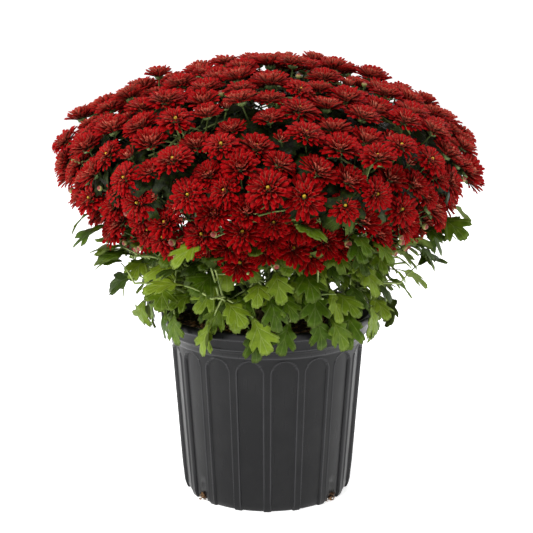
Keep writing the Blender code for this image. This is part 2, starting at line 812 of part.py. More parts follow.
def stem_object(name, path, collection):
    """A square-sided stem along its curve, thinner towards its end, as a mesh with welded caps."""
    curve = bpy.data.curves.new(name, "CURVE")
    curve.dimensions = "3D"
    curve.bevel_depth = stem_radius
    curve.bevel_resolution = 0
    curve.use_fill_caps = True
    spline = curve.splines.new("POLY")
    places = bezier(*path, stem_points)
    spline.points.add(stem_points - 1)
    for index, place in enumerate(places):
        spline.points[index].co = (*place, 1.0)
        spline.points[index].radius = 1.0 - stem_taper * index / (stem_points - 1)
    guide = bpy.data.objects.new(name + "_guide", curve)
    collection.objects.link(guide)
    evaluated = guide.evaluated_get(bpy.context.evaluated_depsgraph_get())
    mesh = bpy.data.meshes.new_from_object(evaluated)
    shape = bmesh.new()
    shape.from_mesh(mesh)
    bmesh.ops.remove_doubles(shape, verts=shape.verts, dist=0.00001)
    bmesh.ops.triangulate(shape, faces=shape.faces)
    shape.to_mesh(mesh)
    shape.free()
    mesh.update()
    stem = bpy.data.objects.new(name, mesh)
    stem.matrix_world = guide.matrix_world
    collection.objects.link(stem)
    bpy.data.objects.remove(guide)
    bpy.data.curves.remove(curve)
    return stem


def make_stems(parts, paths, leaves):
    """One object for each stem, with its leaves fused to it."""
    for index, path in enumerate(paths):
        if index < spray_count:
            name = "leafy_stem_%02d" % (index + 1)
        else:
            name = "low_shoot_%02d" % (index - spray_count + 1)
        stem = stem_object(name, path, parts)
        own = [leaf_shape(*leaf[1:]) for leaf in leaves if leaf[0] == index]
        others = [mesh_object("leaf", shape[0], shape[1], parts) for shape in own]
        if others:
            fuse(stem, others)


def paint(parts):
    """Gives each part the material of what it is."""
    finishes = {
        "pot": make_material("black nursery plastic", (0.012, 0.012, 0.014), 0.45),
        "soil": make_material("potting mix", (0.035, 0.018, 0.010), 0.95),
        "crown": make_material("woody crown", (0.10, 0.07, 0.04), 0.85),
        "bloom_spray": make_material("dark red petals", (0.30, 0.004, 0.010), 0.55),
        "leafy_stem": make_material("green leaves and stems", (0.09, 0.20, 0.03), 0.60),
    }
    finishes["low_shoot"] = finishes["leafy_stem"]
    for thing in parts.objects:
        kind = thing.name.rstrip("0123456789").rstrip("_")
        thing.data.materials.clear()
        thing.data.materials.append(finishes[kind])


def main():
    """Builds the plant and its pot."""
    for thing in list(bpy.data.objects):
        bpy.data.objects.remove(thing, do_unlink=True)
    parts = new_collection("pot chrysanthemum")
    cutters = new_collection("cutters")
    make_pot(parts, cutters)
    make_soil(parts)
    make_crown(parts)
    layout = lay_out_blooms()
    make_sprays(parts, layout)
    paths = stem_paths(spray_seats(layout))
    leaves = leaf_frames(paths, layout)
    make_stems(parts, paths, leaves)
    paint(parts)


main()
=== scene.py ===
"""A pot chrysanthemum in flower: black fluted nursery pot, potting mix, stems, leaves and dark red blooms."""

import math

import bpy
import numpy as np
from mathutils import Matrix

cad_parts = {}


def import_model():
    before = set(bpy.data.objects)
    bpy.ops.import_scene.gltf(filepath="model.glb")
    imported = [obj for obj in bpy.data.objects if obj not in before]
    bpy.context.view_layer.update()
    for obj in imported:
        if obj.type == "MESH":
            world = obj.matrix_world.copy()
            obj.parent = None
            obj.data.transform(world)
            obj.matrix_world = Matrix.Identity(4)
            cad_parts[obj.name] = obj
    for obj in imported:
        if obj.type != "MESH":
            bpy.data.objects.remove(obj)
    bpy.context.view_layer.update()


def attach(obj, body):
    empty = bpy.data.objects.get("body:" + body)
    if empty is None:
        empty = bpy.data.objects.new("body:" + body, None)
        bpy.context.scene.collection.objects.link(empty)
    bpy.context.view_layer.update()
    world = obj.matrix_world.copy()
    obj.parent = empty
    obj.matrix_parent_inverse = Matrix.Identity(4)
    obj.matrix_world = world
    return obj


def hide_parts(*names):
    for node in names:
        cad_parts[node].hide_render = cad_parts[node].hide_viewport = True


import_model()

# Camera. The photograph looks slightly down on the plant from about 1.2 m away, level with the top of the
# dome. The place, tilt and lens were worked out from the ellipses of the pot's rim and foot.
camera_data = bpy.data.cameras.new("camera")
camera_data.lens = 80.3
camera_data.sensor_width = 36.0
camera_data.clip_start = 0.05
camera = bpy.data.objects.new("camera", camera_data)
camera.location = (-0.0008, -1.228, 0.495)
camera.rotation_euler = (math.radians(90.0 - 11.76), 0.0, 0.0)
bpy.context.scene.collection.objects.link(camera)
bpy.context.scene.camera = camera
bpy.context.scene.view_settings.view_transform = "Standard"

# Studio. A white sweep of paper that curves up all round, under an even light. One large soft box stands over
# the camera's left shoulder, with weaker ones to the right, overhead and behind, as for a catalogue picture.
world = bpy.data.worlds.new("white studio")
world.use_nodes = True
world.node_tree.nodes["Background"].inputs["Color"].default_value = (1.0, 1.0, 1.0, 1.0)
world.node_tree.nodes["Background"].inputs["Strength"].default_value = 0.38
bpy.context.scene.world = world


def soft_box(name, place, size, watts):
    """A square area light at a place, turned so that its face looks at the middle of the plant."""
    lamp = bpy.data.lights.new(name, "AREA")
    lamp.size = size
    lamp.energy = watts
    thing = bpy.data.objects.new(name, lamp)
    thing.location = place
    way = np.array([0.0, 0.0, 0.27]) - np.array(place)
    level = math.hypot(way[0], way[1])
    thing.rotation_euler = (math.atan2(level, -way[2]), 0.0, math.atan2(way[1], way[0]) - 0.5 * math.pi)
    bpy.context.scene.collection.objects.link(thing)


soft_box("key soft box", (-1.0, -1.5, 1.9), 1.0, 42.0)
soft_box("left strip box", (-2.0, -0.1, 0.7), 0.8, 16.0)
soft_box("right strip box", (2.0, -0.2, 0.8), 0.8, 13.0)
soft_box("top soft box", (0.1, 0.4, 2.2), 1.3, 16.0)
soft_box("back soft box", (0.5, 2.1, 1.3), 1.2, 16.0)


def linear(code):
    """The linear colour of an sRGB hex code: each channel through the sRGB curve."""
    channels = np.array([int(code[place:place + 2], 16) for place in (1, 3, 5)]) / 255.0
    bright = ((channels + 0.055) / 1.055) ** 2.4
    return (*np.where(channels <= 0.04045, channels / 12.92, bright).tolist(), 1.0)


def main_output(node):
    """The first of a node's outputs that its options leave in use."""
    return next(output for output in node.outputs if output.enabled)


def add_node(tree, kind, sockets=(), stops=(), into=None, **settings):
    """Adds a node and sets its options. Each listed input gets a value, or a link from a node or an output.
    A ramp gets its (place, colour code) stops. The node is linked into the input that it feeds, if given."""
    node = tree.nodes.new(kind)
    for name, value in settings.items():
        setattr(node, name, value)
    for name, value in sockets:
        if isinstance(value, bpy.types.Node):
            value = main_output(value)
        if isinstance(value, bpy.types.NodeSocket):
            tree.links.new(value, node.inputs[name])
        else:
            node.inputs[name].default_value = value
    for at, code in stops[1:-1]:
        node.color_ramp.elements.new(at)
    for number, (at, code) in enumerate(stops):
        node.color_ramp.elements[number].position = at
        node.color_ramp.elements[number].color = linear(code)
    if into is not None:
        tree.links.new(main_output(node), into)
    return node


def new_finish(name, values):
    """A new material with its Principled shader's sockets set; gives the material, node tree and shader."""
    finish = bpy.data.materials.new(name)
    finish.use_nodes = True
    shader = finish.node_tree.nodes["Principled BSDF"]
    for socket, value in values:
        shader.inputs[socket].default_value = value
    return finish, finish.node_tree, shader


def make_piece(name, points, quads, triangles, finish, smooth=True):
    """Puts arrays of points, four-cornered and three-cornered faces into a mesh and links its object."""
    quads = np.asarray(quads, np.int64).reshape(-1, 4)
    triangles = np.asarray(triangles, np.int64).reshape(-1, 3)
    corners = np.concatenate([quads.ravel(), triangles.ravel()])
    starts = np.concatenate([4 * np.arange(len(quads)), 4 * len(quads) + 3 * np.arange(len(triangles))])
    mesh = bpy.data.meshes.new(name)
    mesh.vertices.add(len(points))
    mesh.vertices.foreach_set("co", np.asarray(points, np.float32).ravel())
    mesh.loops.add(len(corners))
    mesh.loops.foreach_set("vertex_index", corners.astype(np.int32))
    mesh.polygons.add(len(starts))
    mesh.polygons.foreach_set("loop_start", starts.astype(np.int32))
    mesh.update(calc_edges=True)
    mesh.validate()
    if smooth:
        mesh.shade_smooth()
    mesh.materials.append(finish)
    piece = bpy.data.objects.new(name, mesh)
    bpy.context.scene.collection.objects.link(piece)
    return piece


def turned(radius, height, angle):
    """Points of a turned skin: each row's radius at every angle round the upright axis, and its height."""
    x, y = radius * np.cos(angle), radius * np.sin(angle)
    return np.stack([x, y, height + 0.0 * x], axis=-1)


paper, tree, shader = new_finish("white paper sweep", [("Base Color", linear("#FAFAFA")), ("Roughness", 0.9)])
# Photographic backdrop paper is uncoated and dead matt, and lit until it reads as pure white all round.
shader.inputs["Emission Color"].default_value = (1.0, 1.0, 1.0, 1.0)
shader.inputs["Emission Strength"].default_value = 0.62
grain = add_node(tree, "ShaderNodeTexNoise", [("Scale", 900.0), ("Detail", 2.0)])
add_node(tree, "ShaderNodeBump", [("Strength", 0.02), ("Height", grain)], into=shader.inputs["Normal"])
sweep_sides = 64
sweep_wall_radius = 8.0
sweep_wall_curve = 1.5
sweep_turn = math.tau * np.arange(sweep_sides) / sweep_sides
sweep_rise = np.linspace(0.0, 0.5 * math.pi, 9)
sweep_reach = np.concatenate([[0.5, 2.0, 5.0], sweep_wall_radius + sweep_wall_curve * np.sin(sweep_rise)])
sweep_height = np.concatenate([[0.0, 0.0, 0.0], sweep_wall_curve * (1.0 - np.cos(sweep_rise))])
sweep = turned(sweep_reach[:, None], sweep_height[:, None], sweep_turn).reshape(-1, 3)
row, column = np.meshgrid(np.arange(len(sweep_reach) - 1), np.arange(sweep_sides), indexing="ij")
start, after = sweep_sides * row + column, sweep_sides * row + (column + 1) % sweep_sides
sweep_faces = np.stack([start, start + sweep_sides, after + sweep_sides, after], axis=-1).reshape(-1, 4)
sweep_middle = np.stack([np.full(sweep_sides, len(sweep)), start[0], after[0]], axis=-1)
floor = make_piece("floor", np.vstack([sweep, [[0.0, 0.0, 0.0]]]), sweep_faces, sweep_middle, paper)

# Nursery pot. Black polypropylene, blow moulded in one piece: a rolled lip, a plain collar with a step under
# it, and a tapering wall with eighteen sunk panels. Each panel has a round top and a fine raised line about
# its edge, and the ribs between panels run down to a scalloped foot with four drain holes.
pot_height = 0.195
foot_radius, foot_height = 0.0898, 0.0070
shoulder_radius, shoulder_height = 0.1012, 0.1650
panel_count = 18
panel_half_angle = math.radians(7.8)
panel_depth = 0.0018
panel_edge_width = 0.0011
panel_top = 0.1640
bead_height = 0.0010
bead_width = 0.00065
foot_scallop = 0.0006
ledge_heights = np.array([0.1673, 0.1757, 0.1872])
drain_angles = np.radians([50.0, 130.0, 230.0, 310.0])  # turned from the front of the pot
drain_radius = 0.0055
drain_height = 0.0045
# Columns of points across one panel and rib, as shares of the pitch, closer together at the panel's edges.
panel_columns = np.concatenate([np.linspace(first, last, count)[:-1] for first, last, count in [
    (-0.500, -0.435, 3), (-0.435, -0.345, 9), (-0.345, 0.345, 14), (0.345, 0.435, 9), (0.435, 0.500, 3)]])


def wall_radius(height):
    """Outer radius of the tapering wall: a straight line from the foot to the top of the panels."""
    slope = (shoulder_radius - foot_radius) / (shoulder_height - foot_height)
    return foot_radius + slope * (height - foot_height)


def grid_faces(rows, columns):
    """Four-cornered faces of a grid that closes on itself along its columns."""
    row, column = np.meshgrid(np.arange(rows - 1), np.arange(columns), indexing="ij")
    this, after = row * columns + column, row * columns + (column + 1) % columns
    return np.stack([this, after, after + columns, this + columns], axis=-1).reshape(-1, 4)


def lathe_faces(rows, columns):
    """Faces of a turned grid with one closing point before its first row and one after its last."""
    ring = np.arange(columns)
    first, last = rows * columns, rows * columns + 1
    start = np.stack([np.full(columns, first), np.roll(ring, -1), ring], axis=-1)
    top = (rows - 1) * columns
    end = np.stack([np.full(columns, last), top + ring, top + np.roll(ring, -1)], axis=-1)
    return grid_faces(rows, columns), np.concatenate([start, end])


def make_pot_wall():
    """The pot as one turned skin. The outline runs from the middle of the base up the outside and down the
    inside. On the outer wall the distance to the nearest panel's edge gives how far the skin is pushed in:
    a smooth step of the panel's depth inside the edge, less a bell-shaped bead along the edge itself."""
    foot = np.array([[0.0800, 0.0], [0.0863, 0.0], [0.0872, 0.0003], [0.0881, 0.0018], [0.0889, 0.0042]])
    straight = np.concatenate([np.linspace(0.0070, 0.146, 7), np.linspace(0.1475, 0.1655, 28)])
    wall = np.column_stack([wall_radius(straight), straight])
    collar = 0.0001 * np.array([
        (1017, 1664), (1022, 1670), (1024, 1674), (1026, 1680), (1036, 1712), (1046, 1735), (1062, 1744),
        (1070, 1749), (1074, 1755), (1075, 1762), (1073, 1769), (1073, 1775), (1078, 1800), (1088, 1838),
        (1094, 1856), (1100, 1864), (1116, 1868), (1120, 1871), (1122, 1877), (1123, 1890), (1125, 1920),
        (1124, 1934), (1120, 1944), (1112, 1949), (1102, 1950), (1092, 1947), (1087, 1940), (1084, 1925)])
    inside = 0.0001 * np.array([(1078, 1880), (1058, 1820), (983, 1650), (869, 62), (839, 30)])
    outline = np.concatenate([foot, wall, collar, inside])
    angle = math.tau * (np.arange(panel_count)[:, None] + panel_columns).ravel() / panel_count
    from_middle = np.tile(panel_columns, panel_count)
    radius, height = outline[:, :1], outline[:, 1:]
    half_width = panel_half_angle * wall_radius(height)
    across = np.abs(from_middle) * math.tau / panel_count * wall_radius(height)
    above = np.clip(height - (panel_top - half_width), 0.0, None)
    edge = np.hypot(across, above) - half_width
    sunk = np.clip(-edge / panel_edge_width, 0.0, 1.0)
    sunk = sunk * sunk * (3.0 - 2.0 * sunk)
    outer = np.zeros((len(outline), 1))
    outer[1:len(foot) + len(wall)] = 1.0
    depth = panel_depth + foot_scallop * np.clip(1.0 - height / 0.012, 0.0, 1.0)
    bead = outer * np.exp(-(edge / bead_width) ** 2) * np.clip(height / 0.02, 0.0, 1.0)
    radius = radius - outer * depth * sunk + bead_height * bead
    ledges = np.exp(-((height - ledge_heights) / 0.0006) ** 2).max(axis=1, keepdims=True)
    ledges = ledges * (radius.max(axis=1, keepdims=True) > 0.1015)
    points = np.vstack([turned(radius, height, angle).reshape(-1, 3), [[0.0, 0.0, 0.0], [0.0, 0.0, 0.0030]]])
    # The beads and ledges are marked for a lighter grey in the finish: a painted highlight along them.
    painted_highlight = np.concatenate([np.maximum(bead, ledges).ravel(), [0.0, 0.0]])
    return points, *lathe_faces(len(outline), len(angle)), painted_highlight


def spun(first, second, turn):
    """Turns pairs of coordinates by an angle."""
    return first * np.cos(turn) - second * np.sin(turn), first * np.sin(turn) + second * np.cos(turn)


def make_drain_pegs():
    """Round pegs that point outwards through the foot: two rings each, closed by a flat face at each end."""
    sides = 20
    turn = math.tau * np.arange(sides) / sides
    rings, faces = [], []
    for angle in drain_angles - 0.5 * math.pi:
        first = len(rings) * sides
        for reach in (0.0780, 0.0990):
            x, y = spun(reach, drain_radius * np.cos(turn), angle)
            rings.append(np.column_stack([x, y, drain_height + drain_radius * np.sin(turn)]))
        near, far = first + np.arange(sides), first + sides + np.arange(sides)
        faces.append(near[::-1].tolist())
        faces.append(far.tolist())
        faces.extend(np.column_stack([near, np.roll(near, -1), np.roll(far, -1), far]).tolist())
    pegs = bpy.data.meshes.new("drain pegs")
    pegs.from_pydata(np.concatenate(rings).tolist(), [], faces)
    return pegs


def mark(piece, name, values):
    """Keeps an array with one value or one vector for each point as an attribute of the mesh."""
    values = np.asarray(values, np.float32)
    if values.ndim == 1:
        piece.data.attributes.new(name, "FLOAT", "POINT").data.foreach_set("value", values)
    else:
        piece.data.attributes.new(name, "FLOAT_VECTOR", "POINT").data.foreach_set("vector", values.ravel())


plastic, tree, shader = new_finish("blow moulded black polypropylene", [
    ("IOR", 1.49), ("Specular IOR Level", 0.22)])
# The moulding leaves a satin skin with faint upright draw lines about 2 mm apart, and handling leaves a thin
# grey bloom of dust in patches. The raised beads and ledges are painted a lighter grey: a painted highlight.
place = add_node(tree, "ShaderNodeTexCoord").outputs["Object"]
upright = add_node(tree, "ShaderNodeMapping", [("Vector", place), ("Scale", (500.0, 500.0, 9.0))])
lines = add_node(tree, "ShaderNodeTexNoise", [("Vector", upright), ("Scale", 1.0), ("Detail", 3.0)])
dust = add_node(tree, "ShaderNodeTexNoise", [("Vector", place), ("Scale", 28.0), ("Detail", 7.0),
                                             ("Roughness", 0.65)])
dusty = add_node(tree, "ShaderNodeMapRange", [("Value", dust), ("From Min", 0.46), ("From Max", 0.78),
                                              ("To Min", 0.0), ("To Max", 0.55)])
tint = add_node(tree, "ShaderNodeMix", [("Factor", dusty), (6, linear("#0E0E10")),
                                        (7, linear("#1F1F20"))], data_type="RGBA")
# Painted highlight: the beads and ledges are mixed towards a lighter grey.
painted_highlight = add_node(tree, "ShaderNodeAttribute", attribute_name="painted_highlight")
add_node(tree, "ShaderNodeMix", [("Factor", painted_highlight.outputs["Fac"]), (6, tint), (7, linear("#39393B"))],
         into=shader.inputs["Base Color"], data_type="RGBA")
add_node(tree, "ShaderNodeMapRange", [("Value", lines), ("From Min", 0.3), ("From Max", 0.7),
                                      ("To Min", 0.26), ("To Max", 0.38)], into=shader.inputs["Roughness"])
add_node(tree, "ShaderNodeBump", [("Strength", 0.12), ("Distance", 0.0004), ("Height", lines)],
         into=shader.inputs["Normal"])

pot_points, pot_quads, pot_triangles, pot_painted_highlight = make_pot_wall()
pot_piece = make_piece("nursery_pot", pot_points, pot_quads, pot_triangles, plastic)
mark(pot_piece, "painted_highlight", pot_painted_highlight)
peg_tool = bpy.data.objects.new("drain pegs", make_drain_pegs())
bpy.context.scene.collection.objects.link(peg_tool)
drill = pot_piece.modifiers.new("drain holes", "BOOLEAN")
drill.operation = "DIFFERENCE"
drill.solver = "EXACT"
drill.object = peg_tool
drilled = bpy.data.meshes.new_from_object(pot_piece.evaluated_get(bpy.context.evaluated_depsgraph_get()))
pot_piece.modifiers.clear()
pot_piece.data = drilled
bpy.data.objects.remove(peg_tool)
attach(pot_piece, "root")
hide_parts("pot")

# Potting mix. Dark peat that fills the pot to about 17 mm below the rim, with shredded bark, some white
# perlite, and fine brown roots that have grown out at the front and over the rim on the right.
soil_height = 0.178


def lumps(x, y, seed, size):
    """A bumpy height from -1 to 1: the sum of twelve sine waves of about one length in random directions."""
    draw = np.random.default_rng(seed)
    turn = draw.uniform(0.0, math.tau, 12)
    pitch = math.tau / (size * draw.uniform(0.6, 1.6, 12))
    shift = draw.uniform(0.0, math.tau, 12)
    waves = np.sin(pitch * (x[..., None] * np.cos(turn) + y[..., None] * np.sin(turn)) + shift)
    return waves.sum(axis=-1) / 4.0


def soil_top(x, y):
    """Height of the soil: two sizes of lumps that fade towards the pot's wall."""
    fade = np.clip((0.1035 - np.hypot(x, y)) / 0.012, 0.0, 1.0)
    return soil_height + fade * (0.0016 * lumps(x, y, 41, 0.030) + 0.0011 * lumps(x, y, 42, 0.009))


def make_soil_skin():
    """The soil as one turned skin: a lumpy top in rings, then down the inside of the pot's wall and floor."""
    columns, rings = 110, 36
    turn = math.tau * np.arange(columns) / columns
    reach = np.linspace(0.002, 0.1040, rings)[:, None]
    x, y = reach * np.cos(turn), reach * np.sin(turn)
    top = np.stack([x, y, soil_top(x, y)], axis=-1)
    down = np.array([[0.0978, 0.1650], [0.0864, 0.0062], [0.0834, 0.0034]])
    points = np.concatenate([top, turned(down[:, :1], down[:, 1:], turn)])[::-1].reshape(-1, 3)
    points = np.vstack([points, [[0.0, 0.0, 0.0034], [0.0, 0.0, soil_height]]])
    return points, *lathe_faces(rings + len(down), columns)


peat, tree, shader = new_finish("moist peat and bark fines", [("Roughness", 0.93), ("IOR", 1.4)])
# Damp peat shows as near-black crumbs 1 to 3 mm across with fox-brown fibres between them.
place = add_node(tree, "ShaderNodeTexCoord").outputs["Object"]
crumbs = add_node(tree, "ShaderNodeTexVoronoi", [("Vector", place), ("Scale", 420.0)])
fibres = add_node(tree, "ShaderNodeTexNoise", [("Vector", place), ("Scale", 260.0), ("Detail", 8.0)])
add_node(tree, "ShaderNodeValToRGB", [("Fac", fibres)], [(0.35, "#150E09"), (0.70, "#5A3B22")],
         into=shader.inputs["Base Color"])
add_node(tree, "ShaderNodeBump", [("Strength", 0.8), ("Distance", 0.0012), ("Height", crumbs)],
         into=shader.inputs["Normal"])
soil_piece = make_piece("potting_mix", *make_soil_skin(), peat)
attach(soil_piece, "root")
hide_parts("soil")


def scattered_chips(count, seed, longest, shape, sink):
    """Eight-cornered chips laid on the soil: each a box with jittered corners, scaled, tilted and turned."""
    draw = np.random.default_rng(seed)
    reach = 0.100 * np.sqrt(draw.uniform(0.06, 1.0, count))
    turn = draw.uniform(0.0, math.tau, count)
    middle = np.stack([reach * np.cos(turn), reach * np.sin(turn)], axis=-1)
    size = longest * draw.uniform(0.35, 1.0, count)[:, None] * np.array(shape)
    cube = np.array([[x, y, z] for z in (-0.5, 0.5) for y in (-0.5, 0.5) for x in (-0.5, 0.5)])
    corners = (cube * draw.uniform(0.55, 1.0, (count, 8, 3))) * size[:, None, :]
    spin, tilt = draw.uniform(0.0, math.tau, count), draw.normal(0.0, 0.35, count)
    x, z = spun(corners[..., 0], corners[..., 2], tilt[:, None])
    flat = np.stack(spun(x, corners[..., 1], spin[:, None]), axis=-1) + middle[:, None, :]
    base = soil_top(middle[:, 0], middle[:, 1])[:, None] + sink * size[:, 2:]
    points = np.concatenate([flat, (z + base)[..., None]], axis=-1).reshape(-1, 3)
    box = np.array([[0, 2, 3, 1], [4, 5, 7, 6], [0, 1, 5, 4], [2, 6, 7, 3], [0, 4, 6, 2], [1, 3, 7, 5]])
    quads = (np.arange(count)[:, None, None] * 8 + box).reshape(-1, 4)
    tones = np.repeat(draw.uniform(0.0, 1.0, count), 8)
    return points, quads, tones


bark, tree, shader = new_finish("shredded pine bark", [("Roughness", 0.85)])
# Each flake has its own brown, from almost black to dry tan, and a coarse fibrous face.
tone = add_node(tree, "ShaderNodeAttribute", attribute_name="chip_tone")
place = add_node(tree, "ShaderNodeTexCoord").outputs["Object"]
fibres = add_node(tree, "ShaderNodeTexNoise", [("Vector", place), ("Scale", 900.0), ("Detail", 4.0)])
add_node(tree, "ShaderNodeValToRGB", [("Fac", tone.outputs["Fac"])], [(0.0, "#1E120A"), (1.0, "#A67A4C")],
         into=shader.inputs["Base Color"])
add_node(tree, "ShaderNodeBump", [("Strength", 0.5), ("Distance", 0.0005), ("Height", fibres)],
         into=shader.inputs["Normal"])
chip_points, chip_quads, chip_tones = scattered_chips(700, 51, 0.011, (1.0, 0.42, 0.20), 0.35)
bark_piece = make_piece("bark_chips", chip_points, chip_quads, np.empty((0, 3)), bark, smooth=False)
mark(bark_piece, "chip_tone", chip_tones)
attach(bark_piece, "root")

perlite, tree, shader = new_finish("expanded perlite", [("Roughness", 0.95)])
# Perlite is white volcanic glass puffed up by heat, here a little stained by the peat.
place = add_node(tree, "ShaderNodeTexCoord").outputs["Object"]
stain = add_node(tree, "ShaderNodeTexNoise", [("Vector", place), ("Scale", 300.0), ("Detail", 3.0)])
add_node(tree, "ShaderNodeValToRGB", [("Fac", stain)], [(0.40, "#8D7F68"), (0.62, "#E2DCCB")],
         into=shader.inputs["Base Color"])
grain_points, grain_quads = scattered_chips(60, 52, 0.0038, (1.0, 0.85, 0.75), 0.30)[:2]
perlite_piece = make_piece("perlite_grains", grain_points, grain_quads, np.empty((0, 3)), perlite)
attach(perlite_piece, "root")


def unit(vectors):
    """Vectors drawn out or in to a length of 1."""
    return vectors / np.linalg.norm(vectors, axis=-1, keepdims=True)


def many_turned(points, rows, columns):
    """Flat arrays for many turned grids at once: all their points, and faces by those points' numbers."""
    quads, triangles = lathe_faces(rows, columns)
    step = points.shape[1] * np.arange(len(points))[:, None, None]
    return points.reshape(-1, 3), (quads + step).reshape(-1, 4), (triangles + step).reshape(-1, 3)


def tubes(paths, radii, sides):
    """Round tubes along many paths at once. Each ring lies across its path, turned the same way throughout
    by a side direction that is square to the path's own chord, and both ends close in a point."""
    count, stations = paths.shape[:2]
    along = unit(np.gradient(paths, axis=1))
    chord = paths[:, -1] - paths[:, 0]
    least = np.eye(3)[np.argmin(np.abs(chord), axis=1)]
    aside = np.cross(chord, least)[:, None, :]
    aside = unit(aside - (aside * along).sum(axis=2, keepdims=True) * along)
    upward = np.cross(along, aside)
    turn = math.tau * np.arange(sides) / sides
    ring = aside[:, :, None] * np.cos(turn)[:, None] + upward[:, :, None] * np.sin(turn)[:, None]
    rings = paths[:, :, None] + np.broadcast_to(radii, (count, stations))[:, :, None, None] * ring
    points = np.concatenate([rings.reshape(count, -1, 3), paths[:, :1], paths[:, -1:]], axis=1)
    return many_turned(points, stations, sides)


def make_roots():
    """Fine roots: random walks that lie on the soil, some of them across the rim at the front and right."""
    draw = np.random.default_rng(61)
    groups = [(-1.57, 0.16, 16), (-0.70, 0.10, 12), (-2.35, 0.2, 8)]  # azimuth, its spread, number of roots
    starts = np.concatenate([draw.normal(*group) for group in groups])
    count, stations = len(starts), 12
    reach = draw.uniform(0.086, 0.097, count)
    heading = (starts + draw.normal(0.0, 0.9, count))[:, None]
    turning = np.cumsum(draw.normal(0.0, 0.34, (count, stations)), axis=1)
    step = draw.uniform(0.0012, 0.0026, count)[:, None]
    x = (reach * np.cos(starts))[:, None] + np.cumsum(step * np.cos(heading + turning), axis=1)
    y = (reach * np.sin(starts))[:, None] + np.cumsum(step * np.sin(heading + turning), axis=1)
    out = np.hypot(x, y)
    over = np.clip((out - 0.098) / 0.010, 0.0, 1.0)
    fall = 0.010 * np.clip((out - 0.1135) / 0.008, 0.0, 1.0)
    z = (1.0 - over) * (soil_top(x, y) + 0.0012) + over * (pot_height + 0.0006) - fall
    radii = draw.uniform(0.00030, 0.00055, count)[:, None] * np.linspace(1.0, 0.5, stations)
    return tubes(np.stack([x, y, z], axis=-1), radii, 5)


def make_drain_fibres():
    """Tufts of peat fibre in the four drain holes: short random walks that start just inside each hole."""
    draw = np.random.default_rng(62)
    count, stations = 16 * len(drain_angles), 6
    turn = np.repeat(drain_angles - 0.5 * math.pi, 16)
    steps = draw.normal(0.0, 0.0013, (count, stations, 3))
    steps[:, 0] = draw.uniform([0.0855, -0.0036, 0.0012], [0.0885, 0.0036, 0.0085], (count, 3))
    out, aside, height = np.moveaxis(np.cumsum(steps, axis=1), 2, 0)
    out = np.clip(out, 0.0850, 0.0900)
    aside, height = np.clip(aside, -0.0048, 0.0048), np.clip(height, 0.0008, 0.0092)
    lines = np.stack([*spun(out, aside, turn[:, None]), height], axis=-1)
    return tubes(lines + draw.normal(0.0, 0.0001, lines.shape), 0.00045, 4)


rootlet, tree, shader = new_finish("dry brown rootlets", [("Roughness", 0.8)])
# Roots in the open air dry to tan, darker where they are still damp.
place = add_node(tree, "ShaderNodeTexCoord").outputs["Object"]
damp = add_node(tree, "ShaderNodeTexNoise", [("Vector", place), ("Scale", 120.0)])
add_node(tree, "ShaderNodeValToRGB", [("Fac", damp)], [(0.40, "#4A2F1C"), (0.65, "#94704A")],
         into=shader.inputs["Base Color"])
root_piece = make_piece("fine_roots", *make_roots(), rootlet)
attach(root_piece, "root")
fibre_piece = make_piece("drain_fibres", *make_drain_fibres(), rootlet)
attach(fibre_piece, "root")

# Woody crown. The old stem base, a knuckle of brown cork half out of the soil. It stands by its root in a
# plain hole in the mix, and all stems rise from it.
crown_radius = 0.020
crown_rise = 0.024


def make_crown_skin():
    """The crown: half an egg above the soil and a root cone below, with eleven shallow folds round it."""
    columns = 66
    turn = math.tau * np.arange(columns) / columns
    over = np.linspace(0.06, 0.5 * math.pi, 14)
    radius = np.concatenate([crown_radius * np.sin(over), [0.0165, 0.0100]])
    height = soil_height + np.concatenate([crown_rise * np.cos(over), [-0.006, -0.018]])
    folds = 1.0 - 0.035 * (0.5 + 0.5 * np.cos(11.0 * turn + 2.0 * np.sin(3.0 * turn)))
    points = turned(radius[::-1, None] * folds, height[::-1, None], turn)
    ends = [[0.0, 0.0, soil_height - 0.030], [0.0, 0.0, soil_height + crown_rise]]
    return np.vstack([points.reshape(-1, 3), ends]), *lathe_faces(len(radius), columns)


cork, tree, shader = new_finish("corky crown", [("Roughness", 0.85)])
# Cork splits along its length into grey-brown plates 2 to 3 mm wide.
place = add_node(tree, "ShaderNodeTexCoord").outputs["Object"]
stretch = add_node(tree, "ShaderNodeMapping", [("Vector", place), ("Scale", (420.0, 420.0, 90.0))])
plates = add_node(tree, "ShaderNodeTexNoise", [("Vector", stretch), ("Scale", 1.0), ("Detail", 5.0)])
add_node(tree, "ShaderNodeValToRGB", [("Fac", plates)], [(0.38, "#33251A"), (0.64, "#7D6A4B")],
         into=shader.inputs["Base Color"])
add_node(tree, "ShaderNodeBump", [("Strength", 0.7), ("Distance", 0.0008), ("Height", plates)],
         into=shader.inputs["Normal"])
crown_piece = make_piece("woody_crown", *make_crown_skin(), cork)
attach(crown_piece, "root")
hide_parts("crown")

# Places of the blooms. The plant is pinched as it grows, so that its blooms end up side by side on a dome, in
# sprays of about a dozen to each stem. The same rule and draws place the blooms of the solid model.
dome_radius = 0.216
dome_widest = 0.350
bloom_count = 318
spray_count = 24


def dome_profile():
    """Samples the dome's outline: a superellipse over the widest height and an ellipse that tucks in under
    it. Gives radius, height, the share of the surface above each sample, and the outward normal."""
    over = np.linspace(0.0, 0.5 * np.pi, 240)
    under = np.linspace(0.0, math.radians(44.0), 100)[1:]
    power = 2.0 / 1.88
    radius = np.concatenate([dome_radius * np.sin(over) ** power, dome_radius * np.cos(under)])
    height = dome_widest + np.concatenate([0.110 * np.cos(over) ** power, -0.128 * np.sin(under)])
    along_radius, along_height = np.gradient(radius), np.gradient(height)
    length = np.hypot(along_radius, along_height)
    share = np.cumsum(radius * length)
    share = (share - share[0]) / (share[-1] - share[0])
    return radius, height, share, -along_height / length, along_radius / length


